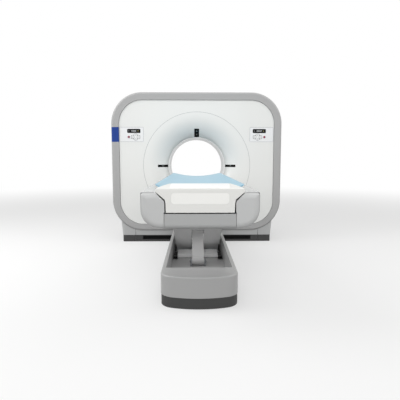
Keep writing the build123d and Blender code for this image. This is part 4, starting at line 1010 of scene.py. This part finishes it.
@dataclass(frozen=True)
class Softbox:
    """A large soft lamp that looks at a point and is never seen itself."""

    name: str
    place: Sequence[float]
    aim: Sequence[float]
    width: float
    depth: float
    watts: float
    in_gloss: bool = True

    def build(self) -> None:
        """Adds the lamp."""
        light = bpy.data.lights.new(self.name, "AREA")
        light.shape = "RECTANGLE"
        light.size = self.width
        light.size_y = self.depth
        light.energy = self.watts
        lamp = looking(self.name, light, Vector(self.aim) - Vector(self.place), self.place)
        lamp.visible_camera = False
        lamp.visible_glossy = self.in_gloss


SOFTBOXES = (
    Softbox("ceiling_softbox", (0.0, -2.2, 4.6), (0.0, -1.6, 0.0), 6.0, 5.0, 40.0),
    Softbox("side_softbox_left", (-4.2, -1.9, 3.5), (0.0, -1.6, 0.3), 2.6, 3.2, 108.0),
    Softbox("side_softbox_right", (4.2, -1.9, 3.5), (0.0, -1.6, 0.3), 2.6, 3.2, 42.0),
    Softbox("front_softbox", (0.0, -6.0, 2.2), (0.0, -2.4, 0.5), 2.6, 1.8, 30.0, in_gloss=False),
    Softbox("under_table_softbox", (0.0, -2.05, 0.5), (0.0, -2.05, 0.0), 0.52, 1.25, 1.6, in_gloss=False),
)


@dataclass
class Studio:
    """Pale floor, soft light and the photograph's viewpoint."""

    eye: Sequence[float] = (-0.042, -5.235, 1.03)
    yaw_deg: float = 0.990
    pitch_deg: float = -5.934
    lens: float = 34.2
    sensor_mm: float = 36.0
    floor_colour: str = "#c2c2c2"
    floor_bounce: str = "#646464"
    floor_glow: float = 0.38
    floor_fade: Sequence[float] = (2.5, 11.0)
    sky: str = "#f7f7f6"
    sky_strength: float = 0.42
    front_strength: float = 0.5
    fill_strength: float = 0.9
    fill_angle_deg: float = 16.0
    fill_rise_deg: float = 7.0
    floor_half: float = 60.0
    floor_drop: float = 0.0006

    def build(self) -> None:
        """Builds the floor, the world, the lamps and the camera."""
        bpy.context.scene.view_settings.view_transform = "Standard"
        self.floor()
        self.world()
        for softbox in SOFTBOXES:
            softbox.build()
        self.fill_light("front_fill", 1.0)
        self.fill_light("rear_fill", -1.0)
        self.camera()

    def finish_tree(self, tree: Tree, lit: bpy.types.Node, shown: bpy.types.Node, output: str) -> None:
        """Ends a tree with one shader that lights the machine and another that is seen.

        Args:
            tree: the node tree.
            lit: the shader for all other rays.
            shown: the shader for the camera, reflections and clear pieces.
            output: the type of the output node.
        """
        path = add_node(tree, "LightPath")
        seen = path.outputs["Is Camera Ray"]
        for kind in ("Is Glossy Ray", "Is Transmission Ray"):
            either = add_node(tree, "Math", {0: seen, 1: path.outputs[kind]}, operation="MAXIMUM")
            seen = either.outputs[0]
        mix = add_node(tree, "MixShader", {0: seen, 1: lit.outputs[0], 2: shown.outputs[0]})
        add_node(tree, output, {"Surface": mix.outputs[0]})

    def world(self) -> None:
        """A white background, and a pale sky that lights the machine evenly."""
        world = bpy.data.worlds.new("studio")
        bpy.context.scene.world = world
        world.use_nodes = True
        tree = world.node_tree
        tree.nodes.clear()
        place = add_node(tree, "TexCoord").outputs["Generated"]
        strength = add_node(tree, "SeparateXYZ", {0: place}).outputs["Y"]
        steps = (("MULTIPLY", -self.front_strength), ("MAXIMUM", 0.0), ("ADD", self.sky_strength))
        for operation, value in steps:
            step = add_node(tree, "Math", {0: strength, 1: value}, operation=operation)
            strength = step.outputs[0]
        light = add_node(tree, "Background", {"Color": linear(self.sky), "Strength": strength})
        shown = add_node(tree, "Background", {"Color": WHITE, "Strength": 1.0})
        self.finish_tree(tree, light, shown, "OutputWorld")

    def floor(self) -> None:
        """A wide pale floor just under the machine, which throws back a little less light than it shows."""
        bm = bmesh.new()
        bmesh.ops.create_grid(bm, x_segments=1, y_segments=1, size=self.floor_half)
        bmesh.ops.translate(bm, vec=(0, 0, -self.floor_drop), verts=bm.verts)
        mesh = bpy.data.meshes.new("studio_floor")
        bm.to_mesh(mesh)
        bm.free()
        material = bpy.data.materials.new("studio_floor")
        material.use_nodes = True
        tree = material.node_tree
        tree.nodes.clear()
        lit = add_node(tree, "BsdfDiffuse", {"Color": linear(self.floor_colour)})
        glow = add_node(tree, "Emission", {"Color": WHITE, "Strength": self.floor_glow})
        near = add_node(tree, "AddShader", {0: lit.outputs[0], 1: glow.outputs[0]})
        far = add_node(tree, "Emission", {"Color": WHITE, "Strength": 1.0})
        place = add_node(tree, "TexCoord").outputs["Object"]
        reach = add_node(tree, "VectorMath", {0: place}, operation="LENGTH")
        fade = add_node(tree, "MapRange", {
            "Value": reach.outputs["Value"], "From Min": self.floor_fade[0], "From Max": self.floor_fade[1]},
            interpolation_type="SMOOTHSTEP")
        shown = add_node(tree, "MixShader", {
            0: fade.outputs["Result"], 1: near.outputs[0], 2: far.outputs[0]})
        bounced = add_node(tree, "BsdfDiffuse", {"Color": linear(self.floor_bounce)})
        self.finish_tree(tree, bounced, shown, "OutputMaterial")
        mesh.materials.append(material)
        floor = linked("studio_floor", mesh)

    def fill_light(self, name: str, way: float) -> None:
        """Adds a low, broad light along Y, which reaches the lift under the table.

        Args:
            name: the lamp's name.
            way: one for light that comes from the front, and minus one from the rear.
        """
        light = bpy.data.lights.new(name, "SUN")
        light.energy = self.fill_strength
        light.angle = math.radians(self.fill_angle_deg)
        rise = math.radians(self.fill_rise_deg)
        lamp = looking(name, light, Vector((0, way * math.cos(rise), -math.sin(rise))))
        lamp.visible_glossy = False

    def camera(self) -> None:
        """Sets the camera at the photograph's viewpoint."""
        data = bpy.data.cameras.new("viewpoint")
        data.lens = self.lens
        data.sensor_width = self.sensor_mm
        yaw = math.radians(self.yaw_deg)
        pitch = math.radians(self.pitch_deg)
        forward = Vector((math.sin(yaw) * math.cos(pitch), math.cos(yaw) * math.cos(pitch), math.sin(pitch)))
        bpy.context.scene.camera = looking("viewpoint", data, forward, self.eye)


def main() -> None:
    """Builds the studio, dresses the frame and adds the pieces."""
    logging.basicConfig(level=logging.INFO, format="%(message)s")
    Studio().build()
    dress_nodes()
    for part in (Gantry(), Lift(), Tray(), TableBody(), CapPad(), Mattress()):
        part.build()
        LOG.info("finished %s", type(part).__name__)


if __name__ == "__main__":
    main()
